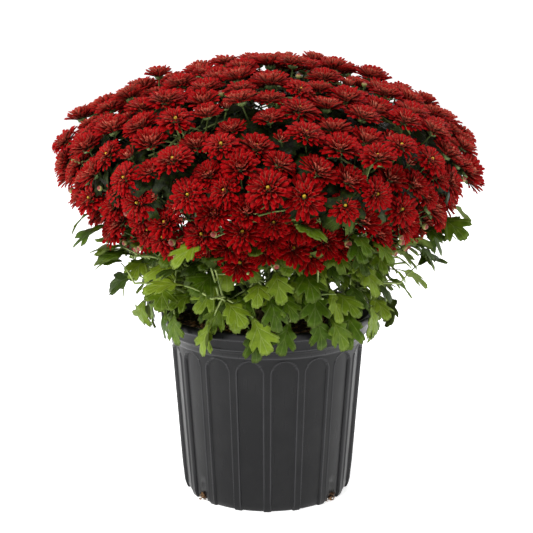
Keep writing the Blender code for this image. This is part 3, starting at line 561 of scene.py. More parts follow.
def scatter(profile, count):
    """Spreads points evenly over the dome along a spiral of golden-angle turns."""
    radius, height, share = profile[:3]
    order = (np.arange(count) + 0.5) / count
    turn = np.arange(count) * math.pi * (3.0 - math.sqrt(5.0))
    reach = np.interp(order, share, radius)
    return np.stack([reach * np.cos(turn), reach * np.sin(turn), np.interp(order, share, height)], axis=1)


def settle(profile, points):
    """Puts points back on the dome and gives the dome's outward normal at each."""
    radius, height = profile[:2]
    reach = np.hypot(points[:, 0], points[:, 1])
    away = (reach[:, None] - radius) ** 2 + (points[:, 2][:, None] - height) ** 2
    nearest = np.argmin(away, axis=1)
    unit = points[:, :2] / np.maximum(reach, 1e-9)[:, None]
    seated = np.column_stack([unit * radius[nearest][:, None], height[nearest]])
    return seated, np.column_stack([unit * profile[3][nearest][:, None], profile[4][nearest]])


def push_apart(points, wanted):
    """Each point's push away from those that stand nearer to it than wanted, by 4 mm at most from each."""
    apart = points[:, None] - points
    distance = np.linalg.norm(apart, axis=2) + np.eye(len(points))
    press = np.clip(wanted - distance, 0.0, 0.004) * (1.0 - np.eye(len(points)))
    return (apart / distance[:, :, None] * press[:, :, None]).sum(axis=1)


def lay_out_blooms():
    """Middles, facings, radii, spins and spray numbers of the blooms: a spiral start, a draw of sizes, then
    160 rounds in which each pair that stands too close is pushed apart and each spray draws together."""
    profile = dome_profile()
    draw = np.random.default_rng(21)
    points = scatter(profile, bloom_count) + draw.normal(0.0, 0.005, (bloom_count, 3))
    radii = np.clip(draw.normal(0.0176, 0.0016, bloom_count), 0.0135, 0.0205)
    middles = scatter(profile, spray_count)
    sprays = np.argmin(np.linalg.norm(points[:, None] - middles, axis=2), axis=1)
    wanted = (radii[:, None] + radii) * np.where(sprays[:, None] == sprays, 0.77, 1.035)
    for turn in range(160):
        points, normals = settle(profile, points)
        push = push_apart(points, wanted)
        centres = np.array([points[sprays == spray].mean(axis=0) for spray in range(spray_count)])
        points = points + 0.35 * push + 0.01 * (centres[sprays] - points)
    points, normals = settle(profile, points)
    facing = normals + draw.normal(0.0, 0.10, normals.shape)
    facing[:, 2] = np.where(facing[:, 2] < 0.0, 0.2 * facing[:, 2], facing[:, 2]) + 0.15
    return points, unit(facing), radii, draw.uniform(0.0, math.tau, bloom_count), sprays


bloom_points, bloom_facing, bloom_radii, bloom_spins, bloom_sprays = lay_out_blooms()

# Stems. Each is a soft green cane, 3.4 mm thick where it leaves the crown and 2.2 mm where it ends under its
# spray. Nine low shoots without blooms lean out over the rim. Thin stalks branch off to every bloom.
stem_radius = 0.0017
stem_points = 5  # corners of each stem of the solid model
stem_stations = 26
shoot_count = 9
upright_way = np.array([0.0, 0.0, 1.0])


def bezier(first, second, third, fourth, count):
    """Points along a cubic curve with four guide points."""
    way = np.linspace(0.0, 1.0, count)[:, None]
    back = 1.0 - way
    near_start = back ** 3 * first + 3.0 * back ** 2 * way * second
    return near_start + 3.0 * back * way ** 2 * third + way ** 3 * fourth


def carrier_of(points, members):
    """The bloom that a spray's stem runs up to: its middle one, or its lowest one low on the dome."""
    middle = points[members].mean(axis=0)
    if middle[2] < 0.335:
        return members[int(np.argmin(points[members][:, 2]))]
    return members[int(np.argmin(np.linalg.norm(points[members] - middle, axis=1)))]


def crown_seat(azimuth, lean):
    """A point on the crown and the direction away from it, for an azimuth and a lean from upright."""
    out = math.sin(lean) * level_way(azimuth) + math.cos(lean) * upright_way
    return out * np.array([crown_radius, crown_radius, crown_rise]) + soil_height * upright_way, out


def level_way(azimuth):
    """The level direction at an azimuth."""
    return np.array([math.cos(azimuth), math.sin(azimuth), 0.0])


def stem_paths():
    """Guide points of each stem: from the crown, leaning more for each spray further down the dome, to the
    foot of the bloom that it carries. The low shoots end in a ring just outside the rim."""
    paths = []
    for spray in range(spray_count):
        carrier = carrier_of(bloom_points, np.flatnonzero(bloom_sprays == spray))
        middle = bloom_points[bloom_sprays == spray].mean(axis=0)
        facing = bloom_facing[carrier]
        end = bloom_points[carrier] - 0.42 * bloom_radii[carrier] * facing - 0.0004 * facing
        lean = math.radians(66.0) * math.sqrt((spray + 0.5) / spray_count)
        start, out = crown_seat(math.atan2(middle[1], middle[0]), lean)
        length = float(np.linalg.norm(end - start))
        paths.append((start, start + 0.35 * length * out, end - 0.28 * length * facing, end))
    for shoot in range(shoot_count):
        azimuth = math.radians(-90.0) + (shoot + 0.5) * math.tau / shoot_count
        start, out = crown_seat(azimuth, math.radians(84.0))
        end = 0.152 * level_way(azimuth) + 0.238 * upright_way
        second, third = start + 0.040 * out + 0.012 * upright_way, end - 0.050 * level_way(azimuth)
        paths.append((start, second, third, end))
    return paths


stem_guides = stem_paths()
stem_lines = np.array([bezier(*guides, stem_stations) for guides in stem_guides])

cane, tree, shader = new_finish("green herbaceous stem", [("Roughness", 0.55), ("IOR", 1.42)])
# Young stems are pale yellow-green with a silvery down, and darken to olive where they are older and lower.
place = add_node(tree, "ShaderNodeTexCoord").outputs["Object"]
mottle = add_node(tree, "ShaderNodeTexNoise", [("Vector", place), ("Scale", 60.0), ("Detail", 4.0)])
down = add_node(tree, "ShaderNodeTexNoise", [("Vector", place), ("Scale", 1500.0), ("Detail", 2.0)])
add_node(tree, "ShaderNodeValToRGB", [("Fac", mottle)], [(0.35, "#5F7434"), (0.66, "#A3B36C")],
         into=shader.inputs["Base Color"])
add_node(tree, "ShaderNodeBump", [("Strength", 0.3), ("Distance", 0.0002), ("Height", down)],
         into=shader.inputs["Normal"])
stem_taper = stem_radius * np.linspace(1.0, 0.65, stem_stations)
stem_piece = make_piece("leafy_stems", *tubes(stem_lines, stem_taper, 6), cane)
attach(stem_piece, "root")
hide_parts(*["leafy_stem_%02d" % (spray + 1) for spray in range(spray_count)])
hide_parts(*["low_shoot_%02d" % (shoot + 1) for shoot in range(shoot_count)])


def flower_stalk_lines(feet, facing, sprays, stations):
    """Curves that leave each spray's stem along the stem and end square under a bloom. The further the bloom
    is from the end of the stem, the lower its stalk branches off."""
    ends = stem_lines[sprays, -1]
    away = np.linalg.norm(feet - ends, axis=1)
    lengths = np.linalg.norm(np.diff(stem_lines, axis=1), axis=2).sum(axis=1)[sprays]
    back = np.clip((0.018 + 0.85 * away) / lengths, 0.04, 0.55)
    station = np.clip(((stem_stations - 1.0) * (1.0 - back)).astype(int), 2, stem_stations - 2)
    first = stem_lines[sprays, station]
    tangent = unit(stem_lines[sprays, station + 1] - stem_lines[sprays, station - 1])
    span = np.linalg.norm(feet - first, axis=1, keepdims=True)
    second = first + 0.35 * span * tangent
    third = feet - 0.40 * span * facing
    return bezier(first[:, None], second[:, None], third[:, None], feet[:, None], stations)


def close_gaps(points, radii):
    """The full flowers in their final places: 60 more rounds of pushing apart, now with the same spacing for
    every pair, then a random depth, and the lowest row drawn in towards the stems."""
    profile = dome_profile()
    draw = np.random.default_rng(31)
    wanted = (radii[:, None] + radii) * 0.90
    for turn in range(60):
        points = settle(profile, points)[0]
        points = points + 0.3 * push_apart(points, wanted)
    points, normals = settle(profile, points)
    points = points + np.clip(draw.normal(-0.0080, 0.0055, len(points)), -0.019, 0.001)[:, None] * normals
    low = np.clip((0.362 - points[:, 2]) / 0.112, 0.0, 1.0)[:, None]
    return points * (1.0 - 0.12 * low * np.array([1.0, 1.0, 0.0])) + low * np.array([0.0, 0.0, 0.012])


def fill_gaps(points, radii, most):
    """Small half-open flowers for the widest gaps: of 2400 places spread under the dome, each time the one
    furthest from every flower, until the gaps are too small. Gives places, facings and radii."""
    profile = dome_profile()
    seated, normals = settle(profile, scatter(profile, 2400))
    seated = seated - 0.016 * normals
    gap = (np.linalg.norm(seated[:, None] - points, axis=2) - radii).min(axis=1)
    chosen, sizes = [], []
    while len(chosen) < most:
        widest = int(np.argmax(gap))
        if gap[widest] < 0.0025:
            break
        size = min(max(gap[widest] + 0.0040, 0.0075), 0.0115)
        chosen.append(widest)
        sizes.append(size)
        gap = np.minimum(gap, np.linalg.norm(seated - seated[widest], axis=1) - 0.8 * size)
    return seated[chosen], normals[chosen], np.array(sizes)


def turned_up(facing, lift):
    """Directions leaned towards the sky, as flowers turn to the light."""
    return unit(facing + lift * upright_way)


flower_points = close_gaps(bloom_points, bloom_radii)
small_points, small_normals, small_radii = fill_gaps(flower_points, bloom_radii, 96)
small_sprays = bloom_sprays[np.argmin(np.linalg.norm(small_points[:, None] - bloom_points, axis=2), axis=1)]
flower_points = np.vstack([flower_points, small_points])
flower_facing = np.vstack([bloom_facing, small_normals])
flower_lean = np.random.default_rng(33).normal(0.0, 0.13, flower_facing.shape)
flower_facing = turned_up(flower_facing + flower_lean, 0.42)
flower_radii = np.concatenate([1.01 * bloom_radii, small_radii])
flower_sprays = np.concatenate([bloom_sprays, small_sprays])
small_spins = np.random.default_rng(32).uniform(0.0, math.tau, len(small_radii))
flower_spins = np.concatenate([bloom_spins, small_spins])

flower_feet = flower_points - 0.40 * flower_radii[:, None] * flower_facing
stalk_taper = np.linspace(0.0011, 0.0008, 6)
stalk_lines = flower_stalk_lines(flower_feet, flower_facing, flower_sprays, len(stalk_taper))
shaded_stalk_green, tree, shader = new_finish("flower stalk with painted shade", [("Roughness", 0.65), ("Specular IOR Level", 0.3)])
# Flower stalks are downy, and painted darker than the stems as painted shade for their place under the
# blooms.
place = add_node(tree, "ShaderNodeTexCoord").outputs["Object"]
mottle = add_node(tree, "ShaderNodeTexNoise", [("Vector", place), ("Scale", 90.0), ("Detail", 4.0)])
add_node(tree, "ShaderNodeValToRGB", [("Fac", mottle)], [(0.35, "#26330F"), (0.66, "#55672C")],
         into=shader.inputs["Base Color"])
stalk_piece = make_piece("flower_stalks", *tubes(stalk_lines, stalk_taper, 4), shaded_stalk_green)
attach(stalk_piece, "root")

# Calyx. Under each bloom sits a green cup of overlapping bracts that grips the feet of the petals.
calyx_outline = [(0.0, -0.46), (0.12, -0.44), (0.29, -0.35), (0.30, -0.20), (0.0, -0.14)]


def directions_across(axes):
    """Two directions square to each axis and to each other."""
    flat = np.where(np.abs(axes[:, 2:]) < 0.9, [[0.0, 0.0, 1.0]], [[1.0, 0.0, 0.0]])
    aside = unit(np.cross(axes, flat))
    return aside, np.cross(axes, aside)


def cups(middles, axes, radii, outline, sides):
    """Small turned cups at many places at once: an outline of (radius, height) shares, scaled by each radius
    and turned about each axis, with a closing point at both ends of the outline."""
    aside, other = directions_across(axes)
    turn = math.tau * np.arange(sides) / sides
    ring = aside[:, None] * np.cos(turn)[:, None] + other[:, None] * np.sin(turn)[:, None]
    outline = np.array(outline)
    scale = radii[:, None, None, None]
    rings = middles[:, None, None] + scale * (outline[1:-1, 0][:, None, None] * ring[:, None]
                                              + outline[1:-1, 1][:, None, None] * axes[:, None, None])
    tips = middles[:, None] + radii[:, None, None] * outline[[0, -1], 1][:, None] * axes[:, None]
    points = np.concatenate([rings.reshape(len(middles), -1, 3), tips], axis=1)
    return many_turned(points, len(outline) - 2, sides)


bract, tree, shader = new_finish("green calyx bracts", [("Roughness", 0.6)])
# Bracts are stiff, dull scales about 2 mm wide that overlap like tiles, paler in the middle.
place = add_node(tree, "ShaderNodeTexCoord").outputs["Object"]
scales = add_node(tree, "ShaderNodeTexVoronoi", [("Vector", place), ("Scale", 420.0)])
add_node(tree, "ShaderNodeValToRGB", [("Fac", scales)], [(0.05, "#8C9E5A"), (0.60, "#46602A")],
         into=shader.inputs["Base Color"])
add_node(tree, "ShaderNodeBump", [("Strength", 0.5), ("Distance", 0.0004), ("Height", scales)],
         into=shader.inputs["Normal"])
calyx_mesh = cups(flower_points, flower_facing, flower_radii, calyx_outline, 5)
calyx_piece = make_piece("calyxes", *calyx_mesh, bract)
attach(calyx_piece, "root")

# Leaves. Soft, mid green, with five lobes and blunt teeth, a paler underside and a thin stalk. They clothe
# the lower stems, hang over the rim all round, and show as dark green between the blooms, where the inner
# leaves carry painted shade.
leaf_length = 0.037
leaf_thickness = 0.0005
stem_samples_each = 33
leaf_rings = [
    (14, 0.1245, 0.196, 78.0),
    (15, 0.150, 0.226, 42.0),
    (16, 0.172, 0.248, 26.0),
    (18, 0.192, 0.272, 14.0),
    (16, 0.203, 0.293, 2.0),
    (14, 0.150, 0.268, 5.0),
]
more_leaf_rings = [
    (20, 0.1235, 0.192, 78.0),
    (22, 0.112, 0.212, 52.0),
    (24, 0.126, 0.224, 44.0),
    (24, 0.142, 0.252, 30.0),
    (22, 0.110, 0.236, 26.0),
    (26, 0.165, 0.272, 20.0),
    (28, 0.188, 0.290, 10.0),
    (26, 0.197, 0.306, 4.0),
    (16, 0.140, 0.276, 14.0),
    (12, 0.090, 0.216, 34.0),
]
deep_leaf_rings = [
    (20, 0.085, 0.262, 20.0),
    (24, 0.120, 0.262, 24.0),
    (26, 0.145, 0.285, 12.0),
    (20, 0.100, 0.238, 30.0),
    (28, 0.165, 0.265, 16.0),
]


def leaf_relief(along, across):
    """Height of a leaf of unit length: arched along its rib, and drooping to its edges and its tip."""
    return 0.30 * along * (1.0 - along) - 0.10 * along ** 2 - 0.35 * across ** 2


def place_leaf(base, rib, face, length, along, across):
    """World points of a leaf from unit places along and across it."""
    side = np.cross(face, rib)
    flat = base + (along * length)[:, None] * rib + (across * length)[:, None] * side
    return flat + (leaf_relief(along, across) * length)[:, None] * face


def stem_samples():
    """Points along the straight lengths of each stem of the solid model, and the stem that each is on."""
    stations = np.linspace(0.0, stem_points - 1.0, stem_samples_each)
    clouds = []
    for guides in stem_guides:
        corners = bezier(*guides, stem_points)
        columns = [np.interp(stations, np.arange(stem_points), corners[:, axis]) for axis in range(3)]
        clouds.append(np.stack(columns, axis=1))
    return np.vstack(clouds), np.repeat(np.arange(len(stem_guides)), stem_samples_each)


def leaf_slots(draw, rings, inner_count, inner_depth):
    """Wished-for leaves: in rings round the skirt under the blooms, and some inside under the dome."""
    slots = []
    for count, radius, height, droop in rings:
        first = draw.uniform(0.0, math.tau)
        for place in range(count):
            azimuth = first + (place + draw.uniform(-0.25, 0.25)) * math.tau / count
            slots.append((azimuth, radius, height, droop, "skirt"))
    profile = dome_profile()
    seated, normals = settle(profile, scatter(profile, inner_count))
    for point, normal in zip(seated, normals):
        if point[2] > 0.320:
            slots.append((point - inner_depth * normal, normal, "inner"))
    return slots


def turned_across(normal, spin):
    """A direction across a normal, turned about it by a spin."""
    side = unit(np.cross(normal, (0.0, 0.0, 1.0) if abs(normal[2]) < 0.9 else (1.0, 0.0, 0.0)))
    return side * math.cos(spin) + np.cross(normal, side) * math.sin(spin)


def leaf_is_clear(whole, blade, cloud, own_stem, other_stems, gaps):
    """Whether a leaf misses the leaves before it, the blooms, the stems and the pot."""
    spacing, bloom_gap, stem_gap = gaps
    near = cloud[(np.abs(cloud - blade[0]) < 0.095).all(axis=1)]
    if len(near) and np.linalg.norm(whole[:, None] - near, axis=2).min() < spacing:
        return False
    if (np.linalg.norm(whole[:, None] - bloom_points, axis=2) - bloom_radii).min() < bloom_gap:
        return False
    if np.linalg.norm(whole[:, None] - other_stems, axis=2).min() < stem_gap:
        return False
    if np.linalg.norm(blade[:, None] - own_stem, axis=2).min() < stem_gap:
        return False
    reach = np.hypot(whole[:, 0], whole[:, 1])
    in_rim = (reach > 0.1025) & (reach < 0.1155) & (whole[:, 2] < 0.198)
    in_soil = (reach < 0.1085) & (whole[:, 2] < 0.184)
    return not (in_rim | in_soil).any()


def grow_leaves(draw, slots, cloud, gaps, longest_stalk, scales, tries):
    """Settles leaves one by one: each takes the first of its tries that is clear of everything else."""
    stem_cloud, owners = stem_samples()
    leafy = np.tile(np.arange(stem_samples_each), len(stem_guides)) >= 8
    grid_along, grid_across = np.meshgrid(np.linspace(0.0, 1.0, 8), np.linspace(-0.42, 0.42, 6))
    grid_along, grid_across = grid_along.ravel(), grid_across.ravel()
    leaves = []
    for slot in slots:
        for _ in range(tries):
            length = leaf_length * draw.uniform(0.85, 1.15) * scales[slot[-1] == "inner"]
            if slot[-1] == "skirt":
                azimuth = slot[0] + draw.normal(0.0, 0.05)
                droop = math.radians(slot[3] + draw.normal(0.0, 10.0))
                out = level_way(azimuth + draw.normal(0.0, 0.35))
                rib = math.cos(droop) * out - math.sin(droop) * upright_way
                face = math.sin(droop) * out + math.cos(droop) * upright_way
                middle = slot[1] * level_way(azimuth) + slot[2] * upright_way
            else:
                face = unit(slot[1] + draw.normal(0.0, 0.12, 3))
                rib = turned_across(face, draw.uniform(0.0, math.tau))
                middle = slot[0]
            roll = draw.normal(0.0, 0.20)
            side = np.cross(face, rib)
            face = face * math.cos(roll) + side * math.sin(roll)
            middle = middle + draw.normal(0.0, 0.003, 3)
            base = middle - 0.5 * length * rib
            way = base - stem_cloud
            reach = np.linalg.norm(way, axis=1)
            fits = leafy & (way @ rib > 0.10 * reach) & (reach > 0.007) & (reach < longest_stalk)
            if not fits.any():
                continue
            nearest = int(np.argmin(np.where(fits, reach, 1.0)))
            root = stem_cloud[nearest]
            rib = unit(rib + 0.7 * way[nearest] / reach[nearest])
            face = unit(face - (face @ rib) * rib)
            blade = place_leaf(base, rib, face, length, grid_along, grid_across)
            whole = np.vstack([blade, root + np.linspace(0.15, 1.0, 6)[:, None] * (base - root)])
            own = owners == owners[nearest]
            if not leaf_is_clear(whole, blade, cloud, stem_cloud[own], stem_cloud[~own], gaps):
                continue
            leaves.append(((root, base, rib, face, length), slot[-1] == "inner"))
            cloud = np.vstack([cloud, whole])
            break
    return leaves, cloud


# For each round: seed, rings, inner leaves and their depth, clearances from leaves, blooms and stems, longest
# stalk, sizes of skirt and inner leaves, and tries for each leaf. The first round is that of the solid model.
leaf_rounds = [
    (8, leaf_rings, 40, 0.030, (0.0062, 0.0015, 0.0045), 0.034, (1.0, 1.0), 30),
    (9, more_leaf_rings, 420, 0.030, (0.0012, -0.0050, 0.0010), 0.050, (1.0, 1.3), 16),
    (10, deep_leaf_rings, 100, 0.062, (0.0006, -0.0050, 0.0006), 0.065, (1.12, 1.6), 10),
]
outer_leaves, inner_leaves, leaf_cloud = [], [], np.empty((0, 3))
for seed, rings, inner_count, inner_depth, gaps, longest_stalk, scales, tries in leaf_rounds:
    draw = np.random.default_rng(seed)
    slots = leaf_slots(draw, rings, inner_count, inner_depth)
    grown, leaf_cloud = grow_leaves(draw, slots, leaf_cloud, gaps, longest_stalk, scales, tries)
    for leaf, inside in grown:
        hidden = inside or rings is deep_leaf_rings
        (inner_leaves if hidden else outer_leaves).append(leaf)
leaf_places = outer_leaves + inner_leaves

# Outline of a blade, as seen from a point at 45% of its length: angles from the tip round to the stalk, and
# the distance at each. A broad tip and two lobes a side, all with blunt teeth, and narrow bays between them.
leaf_middle = 0.45
leaf_outline = np.array([
    (0, 0.550), (5, 0.553), (9, 0.515), (14, 0.522), (19, 0.505), (24, 0.455), (30, 0.345), (35, 0.290),
    (40, 0.335), (45, 0.430), (50, 0.487), (55, 0.470), (58, 0.447), (63, 0.467), (68, 0.455), (74, 0.400),
    (80, 0.330), (86, 0.275), (93, 0.287), (101, 0.335), (108, 0.372), (114, 0.348), (121, 0.347),
    (129, 0.308), (140, 0.262), (152, 0.270), (164, 0.335), (173, 0.420), (180, 0.450)])


def make_leaf_blades(leaves, shares, skip, seed):
    """Leaf blades on a round grid of rings about a middle point. Each ring is the toothed outline scaled
    down, and is drawn forward by a sixth of its distance from the rib. The height is the leaf's arch, plus a
    fold at the rib, a wave round the edge and a curl of the tip. The lower skin is the upper one again, half
    a millimetre below, and the two join at the edge."""
    draw = np.random.default_rng(seed)
    count = len(leaves)
    base, rib, face = (np.array([leaf[place] for leaf in leaves]) for place in (1, 2, 3))
    length = np.array([leaf[4] for leaf in leaves])
    knots = leaf_outline[::skip]
    turn = np.radians(np.concatenate([knots[:, 0], 360.0 - knots[-2:0:-1, 0]]))
    outline = np.concatenate([knots[:, 1], knots[-2:0:-1, 1]])
    columns = len(turn)
    share = np.array(shares)
    smooth = np.interp(np.minimum(turn, math.tau - turn), [0.0, 1.0, 2.0, math.pi], [0.50, 0.42, 0.33, 0.40])
    reach = share[:, None] * (outline * share[:, None] + smooth * (1.0 - share[:, None]))
    width = draw.uniform(0.88, 1.08, (count, 1, 1))
    across = reach * np.sin(turn) * width
    along = leaf_middle + reach * np.cos(turn) + 0.16 * np.abs(across)
    each = (count, 1, 1)
    wave = draw.uniform(0.01, 0.05, each) * np.sin(4.0 * turn + draw.uniform(0.0, math.tau, each))
    fold = draw.uniform(0.0, 0.26, each) * (np.sqrt(across ** 2 + 0.0009) - 0.03)
    curl = draw.uniform(-0.05, 0.16, each)
    twist = draw.normal(0.0, 0.16, each) * along * across
    height = leaf_relief(along, across) + wave * share[:, None] ** 3 + fold - curl * along ** 2 + twist
    middle_height = leaf_relief(leaf_middle, 0.0) - leaf_middle ** 2 * curl[:, 0, 0]
    side = np.cross(face, rib)

    def world(along, across, height):
        """World points of blade places, each scaled by its leaf's length."""
        shape = (count,) + (1,) * (along.ndim - 1)
        size = length.reshape(shape)[..., None]
        spread = shape + (3,)
        flat = base.reshape(spread) + size * along[..., None] * rib.reshape(spread)
        flat = flat + size * across[..., None] * side.reshape(spread)
        return flat + size * height[..., None] * face.reshape(spread)

    upper = world(along, across, height)
    thickness = leaf_thickness / length
    lower = world(along[:, 1:], across[:, 1:], height[:, 1:] - thickness[:, None, None])
    poles_height = np.stack([middle_height, middle_height - thickness], axis=1)
    poles = world(np.full((count, 2), leaf_middle), np.zeros((count, 2)), poles_height)
    lower, upper = lower[:, ::-1].reshape(count, -1, 3), upper.reshape(count, -1, 3)
    points = np.concatenate([lower, upper, poles[:, ::-1]], axis=1)
    inside = (len(share) - 1) * columns
    under = np.concatenate([np.ones(inside), np.full(columns, 0.5), np.zeros(inside), [1.0, 0.0]])
    places = np.empty((count, points.shape[1], 3))
    for axis, values, pole in ((0, along, leaf_middle), (1, across, 0.0)):
        below, above = values[:, :0:-1].reshape(count, -1), values.reshape(count, -1)
        places[:, :, axis] = np.concatenate([below, above, np.full((count, 2), pole)], axis=1)
    places[:, :, 2] = under
    tones = np.repeat(draw.uniform(0.0, 1.0, count), points.shape[1])
    return *many_turned(points, 2 * len(share) - 1, columns), places.reshape(-1, 3), tones


blade_green, tree, shader = new_finish("fresh chrysanthemum leaf", [
    ("IOR", 1.42), ("Specular IOR Level", 0.16)])
# The upper side is mid green with a faint waxy sheen, the under side pale grey-green and downy. The midrib
# and three veins a side, which run forward into the lobes, are a little lighter and sunk, about 0.8 mm wide.
vein_starts = [(0.10, 50.0), (0.28, 41.0), (0.52, 24.0)]  # place on the midrib, and angle from it in degrees
tone = add_node(tree, "ShaderNodeAttribute", attribute_name="leaf_tone_and_shade")
spot = add_node(tree, "ShaderNodeAttribute", attribute_name="leaf_place")
split = add_node(tree, "ShaderNodeSeparateXYZ", [("Vector", spot.outputs["Vector"])])
aside = add_node(tree, "ShaderNodeMath", [(0, split.outputs["Y"])], operation="ABSOLUTE")
vein_gap = aside
for start, angle in vein_starts:
    slope = math.radians(angle)
    ahead = add_node(tree, "ShaderNodeMath", [(0, split.outputs["X"]), (1, -start)], operation="ADD")
    ahead = add_node(tree, "ShaderNodeMath", [(0, ahead), (1, math.sin(slope))], operation="MULTIPLY")
    off = add_node(tree, "ShaderNodeMath", [(0, aside), (1, -math.cos(slope)), (2, ahead)],
                   operation="MULTIPLY_ADD")
    off = add_node(tree, "ShaderNodeMath", [(0, off)], operation="ABSOLUTE")
    vein_gap = add_node(tree, "ShaderNodeMath", [(0, vein_gap), (1, off)], operation="MINIMUM")
vein = add_node(tree, "ShaderNodeMapRange", [
    ("Value", vein_gap), ("From Min", 0.003), ("From Max", 0.020), ("To Min", 1.0), ("To Max", 0.0)],
    interpolation_type="SMOOTHSTEP")
place = add_node(tree, "ShaderNodeTexCoord").outputs["Object"]
mottle = add_node(tree, "ShaderNodeTexNoise", [("Vector", place), ("Scale", 170.0), ("Detail", 5.0)])
# Each leaf's tone sets its green on both sides and how much its veins show: a random tone, and on the inner
# leaves painted shade that runs the green down to near black.
shade = add_node(tree, "ShaderNodeMath", [(0, mottle), (1, 0.5), (2, -0.25)], operation="MULTIPLY_ADD")
shade = add_node(tree, "ShaderNodeMath", [(0, tone.outputs["Fac"]), (1, shade)], operation="ADD")
upper_green = add_node(tree, "ShaderNodeValToRGB", [("Fac", shade)],
                       [(0.0, "#0A1202"), (0.45, "#3C5506"), (1.0, "#73881F")])
under_green = add_node(tree, "ShaderNodeMix", [
    ("Factor", shade), (6, linear("#1E280D")), (7, linear("#869A45"))], data_type="RGBA")
sides = add_node(tree, "ShaderNodeMix", [
    ("Factor", split.outputs["Z"]), (6, upper_green), (7, under_green)], data_type="RGBA")
veined = add_node(tree, "ShaderNodeMath", [(0, shade), (1, 0.30)], operation="MULTIPLY")
veined = add_node(tree, "ShaderNodeMath", [(0, vein), (1, veined)], operation="MULTIPLY", use_clamp=True)
add_node(tree, "ShaderNodeMix", [("Factor", veined), (6, sides), (7, linear("#98A563"))],
         into=shader.inputs["Base Color"], data_type="RGBA")
fine = add_node(tree, "ShaderNodeTexVoronoi", [("Vector", place), ("Scale", 420.0)],
                feature="DISTANCE_TO_EDGE")
both = add_node(tree, "ShaderNodeMath", [(0, fine), (1, vein)], operation="SUBTRACT")
add_node(tree, "ShaderNodeBump", [("Strength", 0.55), ("Distance", 0.0006), ("Height", both)],
         into=shader.inputs["Normal"])
add_node(tree, "ShaderNodeMapRange", [("Value", split.outputs["Z"]), ("To Min", 0.46), ("To Max", 0.75)],
         into=shader.inputs["Roughness"])

inner_shade_share = 0.06
for name, leaves, shares, skip, seed in [("leaf_blades", outer_leaves, (1.0, 0.80, 0.42), 1, 71),
                                         ("inner_leaves", inner_leaves, (1.0, 0.55), 2, 72)]:
    *blade_mesh, blade_places, blade_tones = make_leaf_blades(leaves, shares, skip, seed)
    leaf_piece = make_piece(name, *blade_mesh, blade_green)
    mark(leaf_piece, "leaf_place", blade_places)
    lit = 1.0
    if name == "inner_leaves":
        lit = np.interp(blade_mesh[0][:, 2], [0.285, 0.325], [1.0, 0.0])  # by height: dark up inside the dome
    # Outer leaves get a random tone. Inner leaves fade with height into painted shade, so they go near black
    # up inside the dome.
    mark(leaf_piece, "leaf_tone_and_shade", lit * (0.20 + 0.75 * blade_tones) + (1.0 - lit) * inner_shade_share * blade_tones)
    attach(leaf_piece, "root")

petiole_roots = np.array([leaf[0] for leaf in leaf_places])
petiole_bases = np.array([leaf[1] + 0.04 * leaf[4] * leaf[2] for leaf in leaf_places])
petiole_taper = np.linspace(0.0011, 0.0007, 4)
petiole_way = np.linspace(0.0, 1.0, len(petiole_taper))[None, :, None]
petiole_sag = 0.0015 * np.sin(math.pi * petiole_way) * upright_way
petiole_lines = petiole_roots[:, None] + petiole_way * (petiole_bases - petiole_roots)[:, None] + petiole_sag
petiole_piece = make_piece("leaf_stalks", *tubes(petiole_lines, petiole_taper, 4), cane)
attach(petiole_piece, "root")

# Blooms. Each is a double flower about 35 mm across: almost eighty blunt, slightly hollowed petals in six
# turns round a small yellow eye. The petals are velvety crimson above and buff pink on their backs.
petal_thickness = 0.00028
petal_turns = [
    # count, start radius, start height, length, lift at foot and at tip in degrees, half width; every length
    # is a share of the bloom's radius
    (20, 0.10, -0.30, 0.98, 30.0, 4.0, 0.106),
    (17, 0.10, -0.26, 0.91, 40.0, 20.0, 0.110),
    (15, 0.09, -0.22, 0.80, 51.0, 36.0, 0.102),
    (12, 0.08, -0.18, 0.67, 61.0, 52.0, 0.096),
    (9, 0.09, -0.14, 0.50, 69.0, 70.0, 0.090),
    (6, 0.10, -0.10, 0.35, 74.0, 86.0, 0.078),
]
small_petal_turns = [
    (10, 0.10, -0.30, 1.00, 44.0, 34.0, 0.160),
    (7, 0.08, -0.24, 0.84, 62.0, 62.0, 0.150),
    (4, 0.05, -0.18, 0.66, 76.0, 92.0, 0.130),
]


